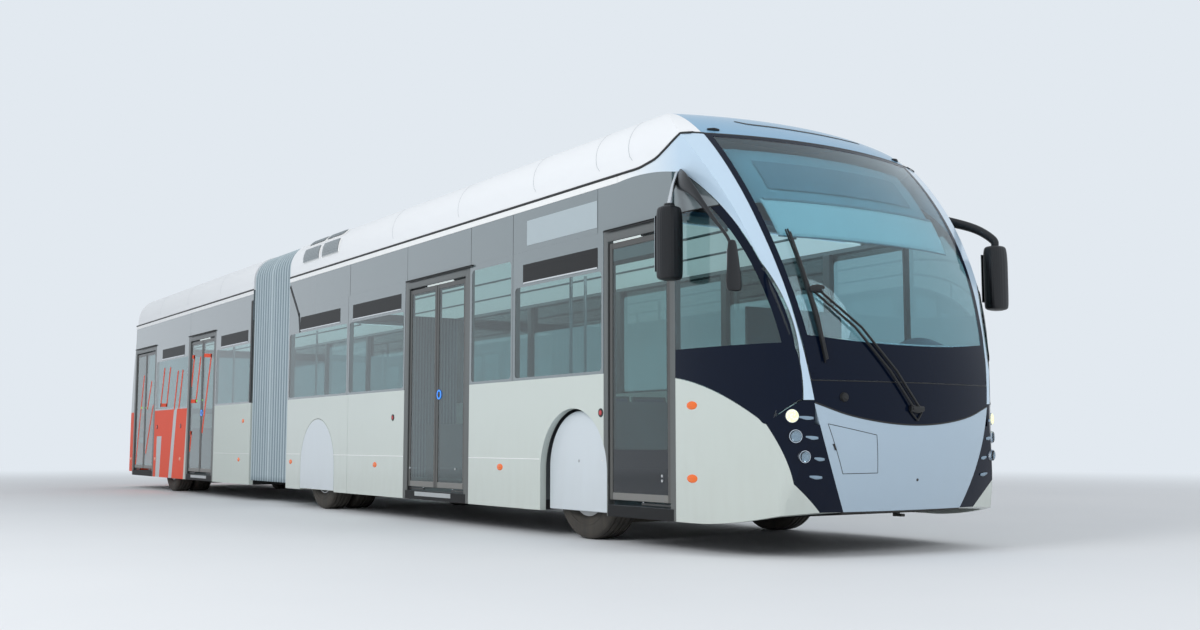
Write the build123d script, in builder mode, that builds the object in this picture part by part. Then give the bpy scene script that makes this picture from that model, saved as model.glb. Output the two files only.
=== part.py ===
# Articulated low-floor city bus: two sections on three axles, joined by a turntable and bellows.
# Millimetres. X forward, Y to the left, Z up. Origin on the ground, midway between nose and tail.
import os
from math import cos, sin, sqrt, radians, degrees, asin

from build123d import *

os.makedirs("parts", exist_ok=True)

# Overall size and the levels of the side wall
NOSE_X = 9300
TAIL_X = -9334
HALF_WIDTH = 1275
SKIRT_Z = 225
BELT_Z = 1380
WINDOW_TOP_Z = 2560
GUTTER_Z = 3000
ROOF_Z = 3500
WALL = 60
GLASS = 8
SEAM = 6
SEAT_GAP = 0.3

# Lengthwise stations
AXLE_1_X = 6600
AXLE_2_X = 580
AXLE_3_X = -6460
PIVOT_X = -1300
FRONT_END_X = -540
REAR_START_X = -2070
CAB_X = 8050
TAIL_START_X = -8980
ROOF_TAIL_X = -8500

# Floor
FLOOR_Z = 315
FLOOR_SLAB = 90
PLATFORM_Z = 500
CEILING_Z = 2600
CEILING_SHEET = 40
CEILING_END_X = 7900
INNER_Y = HALF_WIDTH - WALL

# Curved front: silhouette on the centre line, turned about an upright axis, cut by the plan outline
FRONT_TURN_X = 5300
NOSE_LEVEL_Z = 1000
CHIN_RADIUS = 2360
SCREEN_RADIUS = 3146
CROWN_RADIUS = 1105
SIDE_BOW_RADIUS = 2866
SIDE_BOW_END_X = 8950
CORNER_RADIUS = 420
SHOULDER_RADIUS = 375
CROWN_START_X = 7000
FRONT_CUT_X = 8600
PAST_NOSE_X = NOSE_X + 200

# Front panels' edges
CHIN_Z = 325
SCREEN_TOP_Z = 3190
SCREEN_SEAM_Z = 1250
SCREEN_GLASS = 10
HOOP_TAIL_X = 7300
HOOP_SKIN = 20
LAMP_TOP_Y = 895
LAMP_FOOT_Y = 600
LAMP_TOP_Z = 1090
SCREEN_FOOT_Z = 940
SCREEN_TOP_Y = 1095
SCREEN_MIDDLE_Y = 1047
SCREEN_FOOT_Y = 893
HOOP_FOOT_Z = 1112
CROWN_FOOT_X = 8190
SCREEN_MIDDLE_Z = 2350
NOSE_WAIST_Y = 785
NOSE_WAIST_Z = 728

# Hoop from the side: its gutter's bend, and its rear edge from the foot to the tail
GUTTER_BEND_X = 7600
GUTTER_KNEE_X = 7840
GUTTER_KNEE_Z = 3038
HOOP_FOOT_X = 9165
HOOP_WAIST_X = 8900
HOOP_WAIST_Z = 2150
HOOP_TURN_X = 8176
HOOP_TURN_Z = 2869
HOOP_SLOPE_X = 7800
HOOP_SLOPE_Z = 2935
HOOP_TAIL_WIDTH = 60

# Corner panels from the side: top of the rear edge, brow, tip, leading edge, toe and belly
CORNER_TOP_Z = 1300
CORNER_BROW_X = 8560
CORNER_BROW_Z = 1165
CORNER_TIP_X = 8953
CORNER_TIP_Z = 941
CORNER_LEAD_X = 9080
CORNER_LEAD_Z = 690
CORNER_TOE_X = 9120
CORNER_BELLY_X = 8700
CORNER_BELLY_Z = 250

# Tail: upright to the waist, then one arc leaning forward
TAIL_WAIST_Z = 1000
TAIL_BOW_RADIUS = 6817
TAIL_CORNER = 150
TAIL_FOOT_Z = 290
TAIL_LAMP_Y = 1030
TAIL_LAMP_Z = 1060
TAIL_LAMP_WIDTH = 130
TAIL_LAMP_HEIGHT = 520
REAR_WINDOW_HALF = 980
REAR_WINDOW_FOOT_Z = 1480
REAR_WINDOW_TOP_Z = 2480

# Wheels
WHEEL_RADIUS = 478.5
TYRE_WIDTH = 276
TREAD_WIDTH = 236
RIM_RADIUS = 286
RIM_WIDTH = 210
TWIN_GAP = 40
STEER_WHEEL_Y = 1005
TWIN_OUTER_Y = 1195
COVER_Y = 1205
COVER_PLATE = 20

# Wheel arches and covers: half width at the foot and the height of the crown
ARCH_HALF = 535
ARCH_TOP_Z = 1105
STEER_COVER_HALF = 485
STEER_COVER_TOP_Z = 1085
COVER_FOOT_Z = 240
MID_COVER_HALF = 580
MID_COVER_TOP_Z = 1110
STEER_HOUSE_TOP_Z = 1150
TWIN_HOUSE_TOP_Z = 1060
WHEELHOUSE_SHEET = 20
WHEELHOUSE_HALF = 560
STEER_HOUSE_Y = 480
TWIN_HOUSE_Y = 480

# Doors: column and leaf
LEAF_THICK = 40
LEAF_RECESS = 12
LEAF_FOOT_Z = 356
LEAF_TOP_Z = 2450
LEAF_FRAME = 72
LEAF_PANE = 10
PIVOT_INSET = 12
COLUMN_RADIUS = 16
COLUMN_TO_JAMB = 24
COLUMN_TO_LEAF = 24
LEAF_GAP = 10
ARM_THICK = 16
ARM_WIDTH = 30
PIN_RADIUS = 7
LIP_DEPTH = 20
JAMB_WIDTH = 60
CAB_POST = 30
HEADER_LIP_Z = 2466
DOOR_LINE_Y = -(HALF_WIDTH - LEAF_RECESS - LEAF_THICK / 2 - PIVOT_INSET)

# Doors on the right: name, rear jamb X, front jamb X, number of leaves
DOORS = [
    ("door_1", 7150, 8050, 1),
    ("door_2", 3220, 4620, 2),
    ("door_3", -5300, -3900, 2),
    ("door_4", -8920, -7500, 2),
]

# Lower panels: side (-1 right, 1 left), rear end X, front end X
FRONT_PANELS = [
    (-1, FRONT_END_X, 1570),
    (-1, 1570, 3160),
    (-1, 4680, 7090),
    (1, FRONT_END_X, 1570),
    (1, 1570, 4620),
    (1, 4620, CAB_X),
]
REAR_PANELS = [
    (-1, -3840, REAR_START_X),
    (-1, -7440, -5360),
    (1, -5300, REAR_START_X),
    (1, -7500, -5300),
    (1, TAIL_START_X, -7500),
]

# Window panes: side, rear end X, front end X
FRONT_PANES = [
    (-1, FRONT_END_X, 1530),
    (-1, 1530, 3160),
    (-1, 4680, 5550),
    (-1, 5550, 7090),
    (1, FRONT_END_X, 1530),
    (1, 1530, 3600),
    (1, 3600, 5550),
    (1, 5550, 7090),
    (1, 7090, CAB_X),
]
REAR_PANES = [
    (-1, -3840, REAR_START_X),
    (-1, -7440, -5360),
    (1, -3840, REAR_START_X),
    (1, -5700, -3840),
    (1, -7560, -5700),
    (1, TAIL_START_X, -7560),
]

# Pillars behind the joints of the panes: side, middle X
FRONT_PILLARS = [(-1, FRONT_END_X + 45), (-1, 1530), (-1, 5550),
                 (1, FRONT_END_X + 45), (1, 1530), (1, 3600), (1, 5550), (1, 7090)]
REAR_PILLARS = [(-1, REAR_START_X - 45),
                (1, REAR_START_X - 45), (1, -3840), (1, -5700), (1, -7560)]
PILLAR_WIDTH = 90

# Upper panels: side, rear end X, front end X
FRONT_UPPER = [(-1, FRONT_END_X, 3200), (-1, 3200, 7000), (-1, 7000, CAB_X),
               (1, FRONT_END_X, 3200), (1, 3200, 7000), (1, 7000, CAB_X)]
REAR_UPPER = [(-1, -5300, REAR_START_X), (-1, TAIL_START_X, -5300),
              (1, -5300, REAR_START_X), (1, TAIL_START_X, -5300)]

# Wheel hubs and knuckles
HUB_RADIUS = 130
STEER_DISH = 92
TWIN_DISHES = (-60, 60)
WEB_THICK = 18
WEB_GAP = 8
BRACKET_Y = 835
BRACKET_TOP_Z = 1000

# Arms of the door columns
LOW_ARM_Z = 328
TOP_ARM_Z = 2460
LEAF_RAIL = 95

# Steering wheel: centre, rake of its plane, size
HELM_X = 8200
HELM_Y = 560
HELM_Z = 1290
HELM_RAKE = 28
HELM_RADIUS = 225
HELM_GRIP = 16

# Seats: X of the hip, Y; the high ones stand on the wheel boxes
SEAT_WIDTH = 440
SEAT_TO_WALL = 35
SEAT_TO_SEAT = 40
DRIVER_SEAT_WIDTH = 500
WALL_SEAT_Y = INNER_Y - SEAT_TO_WALL - SEAT_WIDTH / 2
AISLE_SEAT_Y = WALL_SEAT_Y - SEAT_WIDTH - SEAT_TO_SEAT
FRONT_SEATS = [(x, y) for x in (4900, 4100, 3300, 2500) for y in (WALL_SEAT_Y, AISLE_SEAT_Y)]
REAR_SEATS = [(x, y) for x in (-2700, -3500, -4300, -5100, -7700, -8500)
              for y in (WALL_SEAT_Y, AISLE_SEAT_Y)]
REAR_SEATS += [(-2700, -WALL_SEAT_Y), (-2700, -AISLE_SEAT_Y)]
FRONT_POLES = [(4450, 225), (2900, 225), (5300, -480), (1400, -480)]
PARTITION_X = 7250
PARTITION_TOP_Z = 2000
REAR_POLES = [(-3500, 225), (-5500, -480), (-7350, -480), (-5500, 225)]
POLE_RADIUS = 17

# Mirrors: side, then the arm's places from the root on the skin to the top of the head
MIRRORS = [
    (-1, [(7960, 1250, 2790), (8060, 1380, 2790), (8190, 1440, 2600)]),
    (1, [(8260, 1240, 2740), (8560, 1400, 2640), (8860, 1440, 2440)]),
]
MIRROR_ARM_RADIUS = 26
MIRROR_HEIGHT = 560
MIRROR_WIDTH = 240
MIRROR_DEPTH = 190
MIRROR_ROUND = 50

# Sickle arm on the door's side, and the slim mirror on it that shows the front door
SICKLE = [(8060, 1380, 2790), (8300, 1400, 2745), (8560, 1400, 2570), (8850, 1400, 2290), (8930, 1400, 2200)]
SICKLE_RADIUS = 15
DOOR_MIRROR_TOP_Z = 2240
DOOR_MIRROR_HEIGHT = 370
DOOR_MIRROR_WIDTH = 170
DOOR_MIRROR_DEPTH = 60
DOOR_MIRROR_ROUND = 25

# Wiper rods: radius, then places across and up the screen
WIPER_OFF = 26
WIPER_FOOT = (-40, 1060)
WIPER_RODS = [
    (9, [(-40, 1060), (-250, 1330), (-520, 1640), (-815, 1900)]),
    (9, [(20, 1060), (-190, 1330), (-460, 1640), (-760, 1900)]),
    (11, [(-860, 2340), (-850, 2060), (-815, 1720), (-790, 1400)]),
    (12, [(-740, 1890), (-842, 1905)]),
    (12, [(-60, 1060), (40, 1060)]),
]

# Articulation
DISC_RADIUS = 900
DISC_GAP = 10
RING_RADIUS = 420
TONGUE_Z = 150
NECK_HALF = 850
BELLOWS_INSET = 12
BELLOWS_SKIN = 40
BELLOWS_FOOT_Z = 290

# Axle beams
BEAM_FOOT_Z = 130
BEAM_HEIGHT = 80
BEAM_HALF_X = 70
STEER_RISE_Y = 740
TWIN_RISE_Y = 590
PAD_Y = 220
BOSS_RADIUS = 48
BOSS_HEIGHT = 110
EAR_THICK = 26
KINGPIN_RADIUS = 24
SPINDLE_RADIUS = 32


def save(builder, name):
    """Label the finished piece and write it under its own name."""
    builder.part.label = name
    export_step(builder.part, f"parts/{name}.step")


def wall_box(side, x0, x1, z0, z1, outer=HALF_WIDTH, depth=WALL):
    """A flat panel of one side wall, added to the part that is being built."""
    with Locations(((x0 + x1) / 2, side * (outer - depth / 2), (z0 + z1) / 2)):
        Box(x1 - x0, depth, z1 - z0)


def block(x0, x1, y0, y1, z0, z1, mode=Mode.ADD):
    """A box given by its two corners."""
    with Locations(((x0 + x1) / 2, (y0 + y1) / 2, (z0 + z1) / 2)):
        Box(x1 - x0, y1 - y0, z1 - z0, mode=mode)


def arch(x, half, top, foot):
    """Side view of a wheel arch: upright sides under a half circle."""
    spring = top - half
    with BuildSketch() as outline:
        with BuildLine():
            crown = ThreePointArc((x - half, spring), (x, top), (x + half, spring))
            Polyline(crown @ 1, (x + half, foot), (x - half, foot), crown @ 0)
        make_face()
    return outline.sketch


def roof_section(inset=0.0, foot=GUTTER_Z):
    """Outline of the roof fairing across the bus."""
    half = HALF_WIDTH - inset
    top = ROOF_Z - inset
    turn = SHOULDER_RADIUS - inset
    with BuildSketch() as section:
        with BuildLine():
            left = Line((half, foot), (half, top - turn))
            shoulder = JernArc(left @ 1, (0, 1), turn, 90)
            crown = Line(shoulder @ 1, (-(half - turn), top))
            other = JernArc(crown @ 1, (-1, 0), turn, 90)
            down = Line(other @ 1, (-half, foot))
            Line(down @ 1, left @ 0)
        make_face()
    return section.sketch


def front_form(inset, foot=SKIRT_Z):
    """Solid inside the curved front of the cab, its skin set in by the given depth."""
    chin_x = NOSE_X - CHIN_RADIUS
    chin = CHIN_RADIUS - inset
    screen_x = NOSE_X - SCREEN_RADIUS
    screen = SCREEN_RADIUS - inset
    crown = CROWN_RADIUS - inset
    # the crown's arc starts where the two arcs are tangent
    reach = SCREEN_RADIUS - CROWN_RADIUS
    rise = ROOF_Z - CROWN_RADIUS - NOSE_LEVEL_Z
    tilt = asin(rise / reach)
    crown_x = screen_x + reach * cos(tilt)
    drop = NOSE_LEVEL_Z - foot
    bow = SIDE_BOW_RADIUS - inset
    bow_angle = asin((SIDE_BOW_END_X - CAB_X) / SIDE_BOW_RADIUS)
    bow_y = HALF_WIDTH - SIDE_BOW_RADIUS
    bow_end = (CAB_X + bow * sin(bow_angle), bow_y + bow * cos(bow_angle))
    half = HALF_WIDTH - inset
    start_x = CROWN_START_X
    with BuildPart() as form:
        with BuildSketch(Plane.XZ):
            with BuildLine():
                base = Line((FRONT_TURN_X, foot), (chin_x + sqrt(chin**2 - drop**2), foot))
                low = RadiusArc(base @ 1, (chin_x + chin, NOSE_LEVEL_Z), -chin)
                joint = (screen_x + screen * cos(tilt), NOSE_LEVEL_Z + screen * sin(tilt))
                mid = RadiusArc(low @ 1, joint, -screen)
                high = RadiusArc(mid @ 1, (crown_x, ROOF_Z - inset), -crown)
                top = Line(high @ 1, (FRONT_TURN_X, ROOF_Z - inset))
                Line(top @ 1, base @ 0)
            make_face()
        revolve(axis=Axis((FRONT_TURN_X, 0, 0), (0, 0, 1)), revolution_arc=360)
        with BuildSketch(Plane.XY.offset(foot)):
            with BuildLine():
                side = Line((start_x, half), (CAB_X, half))
                sweep = RadiusArc(side @ 1, bow_end, bow)
                turn = JernArc(sweep @ 1, sweep % 1, CORNER_RADIUS - inset, degrees(bow_angle) - 90)
                Line(turn @ 1, (turn @ 1 + (300, 0)))
                Line(turn @ 1 + (300, 0), ((turn @ 1).X + 300, 0))
                Line(((turn @ 1).X + 300, 0), (start_x, 0))
                Line((start_x, 0), side @ 0)
            make_face()
            mirror(about=Plane.XZ)
        extrude(amount=ROOF_Z, mode=Mode.INTERSECT)
        with BuildSketch(Plane.YZ.offset(start_x)):
            add(roof_section(inset, foot))
        extrude(amount=NOSE_X - start_x, mode=Mode.INTERSECT)
    return form.part


def hoop_outline():
    """Side view of the pale band, ahead of its rear edge and under the gutter."""
    with BuildSketch() as band:
        with BuildLine():
            gutter = Polyline((HOOP_TAIL_X, GUTTER_Z), (GUTTER_BEND_X, GUTTER_Z), (GUTTER_KNEE_X, GUTTER_KNEE_Z),
                              (CROWN_FOOT_X, SCREEN_TOP_Z), (PAST_NOSE_X, SCREEN_TOP_Z))
            front = Polyline(gutter @ 1, (PAST_NOSE_X, HOOP_FOOT_Z), (HOOP_FOOT_X, HOOP_FOOT_Z))
            rear = ThreePointArc(front @ 1, (HOOP_WAIST_X, HOOP_WAIST_Z), (HOOP_TURN_X, HOOP_TURN_Z))
            tail = ThreePointArc(rear @ 1, (HOOP_SLOPE_X, HOOP_SLOPE_Z),
                                 (HOOP_TAIL_X, GUTTER_Z - HOOP_TAIL_WIDTH))
            Line(tail @ 1, gutter @ 0)
        make_face()
    return band.sketch


def screen_outline(z0, z1, margin=0.0):
    """Front view of the windscreen between its two side edges and two heights."""
    top = (SCREEN_TOP_Y - margin, SCREEN_TOP_Z)
    middle = (SCREEN_MIDDLE_Y - margin, SCREEN_MIDDLE_Z)
    foot = (SCREEN_FOOT_Y - margin, HOOP_FOOT_Z - 12)
    with BuildSketch() as screen:
        with BuildLine():
            right = ThreePointArc(top, middle, foot)
            low = Polyline(right @ 1, (foot[0], NOSE_WAIST_Z), (-foot[0], NOSE_WAIST_Z), (-foot[0], foot[1]))
            left = ThreePointArc(low @ 1, (-middle[0], middle[1]), (-top[0], top[1]))
            Line(left @ 1, right @ 0)
        make_face()
        with Locations((0, (z0 + z1) / 2)):
            Rectangle(2 * HALF_WIDTH, z1 - z0, mode=Mode.INTERSECT)
    return screen.sketch


def nose_outline(top_z):
    """Front view of the nose panel, under the bowed foot of the windscreen."""
    with BuildSketch() as nose:
        with BuildLine():
            bow = ThreePointArc((-LAMP_TOP_Y, LAMP_TOP_Z), (0, top_z), (LAMP_TOP_Y, LAMP_TOP_Z))
            right = ThreePointArc(bow @ 1, (NOSE_WAIST_Y, NOSE_WAIST_Z), (LAMP_FOOT_Y, CHIN_Z))
            chin = Line(right @ 1, (-LAMP_FOOT_Y, CHIN_Z))
            ThreePointArc(chin @ 1, (-NOSE_WAIST_Y, NOSE_WAIST_Z), bow @ 0)
        make_face()
    return nose.sketch


def corner_outline():
    """Side view of the white corner panel beside the front door."""
    with BuildSketch() as corner:
        with BuildLine():
            rear = Line((CAB_X + CAB_POST, SKIRT_Z), (CAB_X + CAB_POST, CORNER_TOP_Z))
            brow = ThreePointArc(rear @ 1, (CORNER_BROW_X, CORNER_BROW_Z), (CORNER_TIP_X, CORNER_TIP_Z))
            lead = ThreePointArc(brow @ 1, (CORNER_LEAD_X, CORNER_LEAD_Z), (CORNER_TOE_X, CHIN_Z))
            ThreePointArc(lead @ 1, (CORNER_BELLY_X, CORNER_BELLY_Z), rear @ 0)
        make_face()
    return corner.sketch


front_shell = front_form(0) - front_form(WALL)
hoop_shell = front_form(0) - front_form(HOOP_SKIN)
glass_shell = front_form(0) - front_form(SCREEN_GLASS)

# Hoop: the pale band round the windscreen that runs back under the gutter
with BuildPart() as front_hoop:
    add(hoop_shell)
    with BuildSketch(Plane.XZ):
        add(hoop_outline())
    extrude(amount=2 * HALF_WIDTH, both=True, mode=Mode.INTERSECT)
    with BuildSketch(Plane.YZ.offset(CAB_X - 50)):
        add(screen_outline(NOSE_WAIST_Z, SCREEN_TOP_Z + 1))
    extrude(amount=NOSE_X - CAB_X + 200, mode=Mode.SUBTRACT)
save(front_hoop, "front_hoop")

# Windscreen: one bowed pane, above the dark lower screen
with BuildPart() as windscreen:
    add(glass_shell)
    with BuildSketch(Plane.YZ.offset(CAB_X - 50)):
        add(screen_outline(SCREEN_SEAM_Z + SEAM / 2, SCREEN_TOP_Z - SEAT_GAP, SEAT_GAP))
    extrude(amount=NOSE_X - CAB_X + 200, mode=Mode.INTERSECT)
save(windscreen, "windscreen")

with BuildPart() as lower_screen:
    add(glass_shell)
    with BuildSketch(Plane.YZ.offset(CAB_X - 50)):
        add(screen_outline(NOSE_WAIST_Z, SCREEN_SEAM_Z - SEAM / 2, SEAT_GAP))
        with BuildLine():
            bow = ThreePointArc((-LAMP_TOP_Y, LAMP_TOP_Z), (0, SCREEN_FOOT_Z + SEAM), (LAMP_TOP_Y, LAMP_TOP_Z))
            Polyline(bow @ 1, (LAMP_TOP_Y, CHIN_Z), (-LAMP_TOP_Y, CHIN_Z), bow @ 0)
        make_face(mode=Mode.SUBTRACT)
    extrude(amount=NOSE_X - CAB_X + 200, mode=Mode.INTERSECT)
save(lower_screen, "lower_screen")

# Nose panel between the headlamp strips
with BuildPart() as nose_panel:
    add(front_shell)
    with BuildSketch(Plane.YZ.offset(FRONT_CUT_X)):
        add(nose_outline(SCREEN_FOOT_Z))
    extrude(amount=PAST_NOSE_X - FRONT_CUT_X, mode=Mode.INTERSECT)
save(nose_panel, "nose_panel")

# Headlamp strips: dark housings between the nose and the corner panels
with BuildPart() as headlamp_strips:
    add(front_shell)
    block(FRONT_CUT_X, PAST_NOSE_X, -HALF_WIDTH, HALF_WIDTH, CHIN_Z, HOOP_FOOT_Z - SEAM, mode=Mode.INTERSECT)
    with BuildSketch(Plane.YZ.offset(FRONT_CUT_X)):
        add(nose_outline(SCREEN_FOOT_Z))
        add(screen_outline(SCREEN_FOOT_Z, HOOP_FOOT_Z))
    extrude(amount=PAST_NOSE_X - FRONT_CUT_X, mode=Mode.SUBTRACT)
    with BuildSketch(Plane.XZ):
        add(corner_outline())
        with BuildLine():
            Polyline((FRONT_CUT_X, HOOP_FOOT_Z), (HOOP_FOOT_X, HOOP_FOOT_Z), (CORNER_TIP_X, CORNER_TIP_Z),
                     (FRONT_CUT_X, CORNER_TIP_Z), (FRONT_CUT_X, HOOP_FOOT_Z))
        make_face()
    extrude(amount=2 * HALF_WIDTH, both=True, mode=Mode.SUBTRACT)
save(headlamp_strips, "headlamp_strips")

# Body sides of the front section: lower panels, corner panels and the covers of the middle axle
with BuildPart() as corner_panels:
    add(front_shell)
    with BuildSketch(Plane.XZ):
        add(corner_outline())
    extrude(amount=2 * HALF_WIDTH, both=True, mode=Mode.INTERSECT)
    with BuildSketch(Plane.YZ.offset(FRONT_CUT_X)):
        add(nose_outline(SCREEN_FOOT_Z))
    extrude(amount=PAST_NOSE_X - FRONT_CUT_X, mode=Mode.SUBTRACT)

with BuildPart() as middle_covers:
    with BuildSketch(Plane.XZ):
        add(arch(AXLE_2_X, MID_COVER_HALF, MID_COVER_TOP_Z, COVER_FOOT_Z))
    extrude(amount=HALF_WIDTH, both=True)
    block(0, 2 * AXLE_2_X, -INNER_Y, INNER_Y, 0, BELT_Z, mode=Mode.SUBTRACT)
    block(-2 * AXLE_2_X, 0, -INNER_Y, INNER_Y, 0, BELT_Z, mode=Mode.SUBTRACT)

with BuildPart() as front_side_panels:
    for side, x0, x1 in FRONT_PANELS:
        wall_box(side, x0 + SEAM / 2, x1 - SEAM / 2, SKIRT_Z, BELT_Z)
    with BuildSketch(Plane.XZ):
        add(arch(AXLE_1_X, ARCH_HALF, ARCH_TOP_Z, 0))
        add(arch(AXLE_2_X, MID_COVER_HALF + SEAM, MID_COVER_TOP_Z + SEAM, 0))
    extrude(amount=2 * HALF_WIDTH, both=True, mode=Mode.SUBTRACT)
    add(corner_panels.part)
    add(middle_covers.part)
save(front_side_panels, "front_side_panels")

# Upper panels between the windows and the gutter
with BuildPart() as front_upper_panels:
    for side, x0, x1 in FRONT_UPPER:
        wall_box(side, x0 + SEAM / 2, x1 - SEAM / 2, WINDOW_TOP_Z, GUTTER_Z)
    with BuildSketch(Plane.XZ):
        add(hoop_outline())
    extrude(amount=2 * HALF_WIDTH, both=True, mode=Mode.SUBTRACT)
save(front_upper_panels, "front_upper_panels")


def side_frame(pillars, doors):
    """Window pillars, and the posts, lips and header strips of the door portals."""
    lip = COLUMN_TO_JAMB + COLUMN_RADIUS
    with BuildPart() as frame:
        for side, x in pillars:
            wall_box(side, x - PILLAR_WIDTH / 2, x + PILLAR_WIDTH / 2, BELT_Z, WINDOW_TOP_Z,
                     outer=HALF_WIDTH - GLASS, depth=WALL - GLASS)
        for name, rear, front, leaves in doors:
            front_post = CAB_POST if front == CAB_X else JAMB_WIDTH
            wall_box(-1, rear - JAMB_WIDTH, rear, SKIRT_Z, WINDOW_TOP_Z)
            wall_box(-1, front, front + front_post, SKIRT_Z, WINDOW_TOP_Z)
            wall_box(-1, front - lip, front, FLOOR_Z, WINDOW_TOP_Z, depth=LIP_DEPTH)
            wall_box(-1, rear, front, HEADER_LIP_Z, WINDOW_TOP_Z, depth=LIP_DEPTH)
            if leaves == 2:
                wall_box(-1, rear, rear + lip, FLOOR_Z, WINDOW_TOP_Z, depth=LIP_DEPTH)
    return frame.part


with BuildPart() as front_pillars:
    add(side_frame(FRONT_PILLARS, DOORS[:2]))
    wall_box(1, CAB_X, CAB_X + CAB_POST, SKIRT_Z, WINDOW_TOP_Z)
    with BuildSketch(Plane.XZ):
        add(arch(AXLE_1_X, ARCH_HALF, ARCH_TOP_Z, 0))
    extrude(amount=2 * HALF_WIDTH, both=True, mode=Mode.SUBTRACT)
save(front_pillars, "front_pillars")


# Side windows and the cab's corner glasses
with BuildPart() as cab_glasses:
    add(glass_shell)
    block(CAB_X + CAB_POST, PAST_NOSE_X, -HALF_WIDTH, HALF_WIDTH, CORNER_TIP_Z, GUTTER_Z, mode=Mode.INTERSECT)
    with BuildSketch(Plane.XZ):
        add(hoop_outline())
        add(corner_outline())
        with BuildLine():
            Polyline((HOOP_FOOT_X, HOOP_FOOT_Z + SEAM), (CORNER_TIP_X - SEAM, CORNER_TIP_Z),
                     (CORNER_TIP_X, CORNER_LEAD_Z), (PAST_NOSE_X, CORNER_LEAD_Z),
                     (PAST_NOSE_X, HOOP_FOOT_Z + SEAM), (HOOP_FOOT_X, HOOP_FOOT_Z + SEAM))
        make_face()
    extrude(amount=2 * HALF_WIDTH, both=True, mode=Mode.SUBTRACT)
    with BuildSketch(Plane.YZ.offset(CAB_X + CAB_POST)):
        add(screen_outline(NOSE_WAIST_Z, SCREEN_TOP_Z + 1))
    extrude(amount=NOSE_X - CAB_X + 200, mode=Mode.SUBTRACT)

with BuildPart() as front_windows:
    for side, x0, x1 in FRONT_PANES:
        wall_box(side, x0 + SEAM / 2, x1 - SEAM / 2, BELT_Z, WINDOW_TOP_Z, depth=GLASS)
    add(cab_glasses.part)
save(front_windows, "front_windows")

# Roof fairing of the front section, with its crown over the cab and the ceiling below
with BuildPart() as roof_crown:
    add(front_shell)
    with BuildSketch(Plane.XZ):
        with BuildLine():
            Polyline((CROWN_START_X, GUTTER_Z), (GUTTER_BEND_X, GUTTER_Z), (GUTTER_KNEE_X, GUTTER_KNEE_Z),
                     (CROWN_FOOT_X, SCREEN_TOP_Z), (PAST_NOSE_X, SCREEN_TOP_Z), (PAST_NOSE_X, ROOF_Z + 100),
                     (CROWN_START_X, ROOF_Z + 100), (CROWN_START_X, GUTTER_Z))
        make_face()
    extrude(amount=2 * HALF_WIDTH, both=True, mode=Mode.INTERSECT)

with BuildPart() as front_roof:
    with BuildSketch(Plane.YZ.offset(FRONT_END_X)):
        add(roof_section(0))
        add(roof_section(WALL), mode=Mode.SUBTRACT)
    extrude(amount=CROWN_START_X - FRONT_END_X)
    add(roof_crown.part)
    block(FRONT_END_X, CEILING_END_X, -INNER_Y, INNER_Y, CEILING_Z, CEILING_Z + CEILING_SHEET)
save(front_roof, "front_roof")


def wheelhouse(x, inner_y, top):
    """Open boxes over a pair of wheels, fused to the floor: inner wall, two end walls and a lid."""
    half = WHEELHOUSE_HALF
    sheet = WHEELHOUSE_SHEET
    for side in (-1, 1):
        y0, y1 = sorted((side * inner_y, side * (INNER_Y - SEAT_GAP)))
        c0, c1 = sorted((side * inner_y, side * INNER_Y))
        block(x - half, x + half, c0, c1, 0, FLOOR_Z, mode=Mode.SUBTRACT)
        w0, w1 = sorted((side * inner_y, side * (inner_y + sheet)))
        block(x - half, x + half, w0, w1, SKIRT_Z, top)
        block(x - half, x - half + sheet, y0, y1, SKIRT_Z, top)
        block(x + half - sheet, x + half, y0, y1, SKIRT_Z, top)
        block(x - half, x + half, y0, y1, top - sheet, top)


def sills(doors):
    """Thresholds that carry the floor out under the doors."""
    for name, rear, front, leaves in doors:
        block(rear, front, -HALF_WIDTH, -INNER_Y, SKIRT_Z, FLOOR_Z)


# Floor of the front section: slab, wheel boxes, sills, the driver's platform and the turntable's lower half
cab_floor = front_form(WALL + SEAT_GAP) & Pos(8475, 0, FLOOR_Z - FLOOR_SLAB / 2) * Box(850, 3000, FLOOR_SLAB)
with BuildPart() as front_floor:
    block(FRONT_END_X, CAB_X, -INNER_Y, INNER_Y, SKIRT_Z, FLOOR_Z)
    add(cab_floor)
    with Locations((PIVOT_X, 0, SKIRT_Z)):
        Cylinder(DISC_RADIUS + DISC_GAP, 3 * FLOOR_SLAB, mode=Mode.SUBTRACT)
    block(PARTITION_X + 30, 8600, 150, INNER_Y - 120, FLOOR_Z, PLATFORM_Z)
    sills(DOORS[:2])
    with BuildSketch(Plane.XY.offset(TONGUE_Z)):
        with Locations((PIVOT_X, 0)):
            Circle(RING_RADIUS)
        with Locations(((PIVOT_X + FRONT_END_X + 400) / 2, 0)):
            Rectangle(FRONT_END_X + 400 - PIVOT_X, 2 * RING_RADIUS - 100)
    extrude(amount=SKIRT_Z - TONGUE_Z)
    wheelhouse(AXLE_1_X, STEER_HOUSE_Y, STEER_HOUSE_TOP_Z)
    wheelhouse(AXLE_2_X, TWIN_HOUSE_Y, TWIN_HOUSE_TOP_Z)
save(front_floor, "front_floor")


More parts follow.
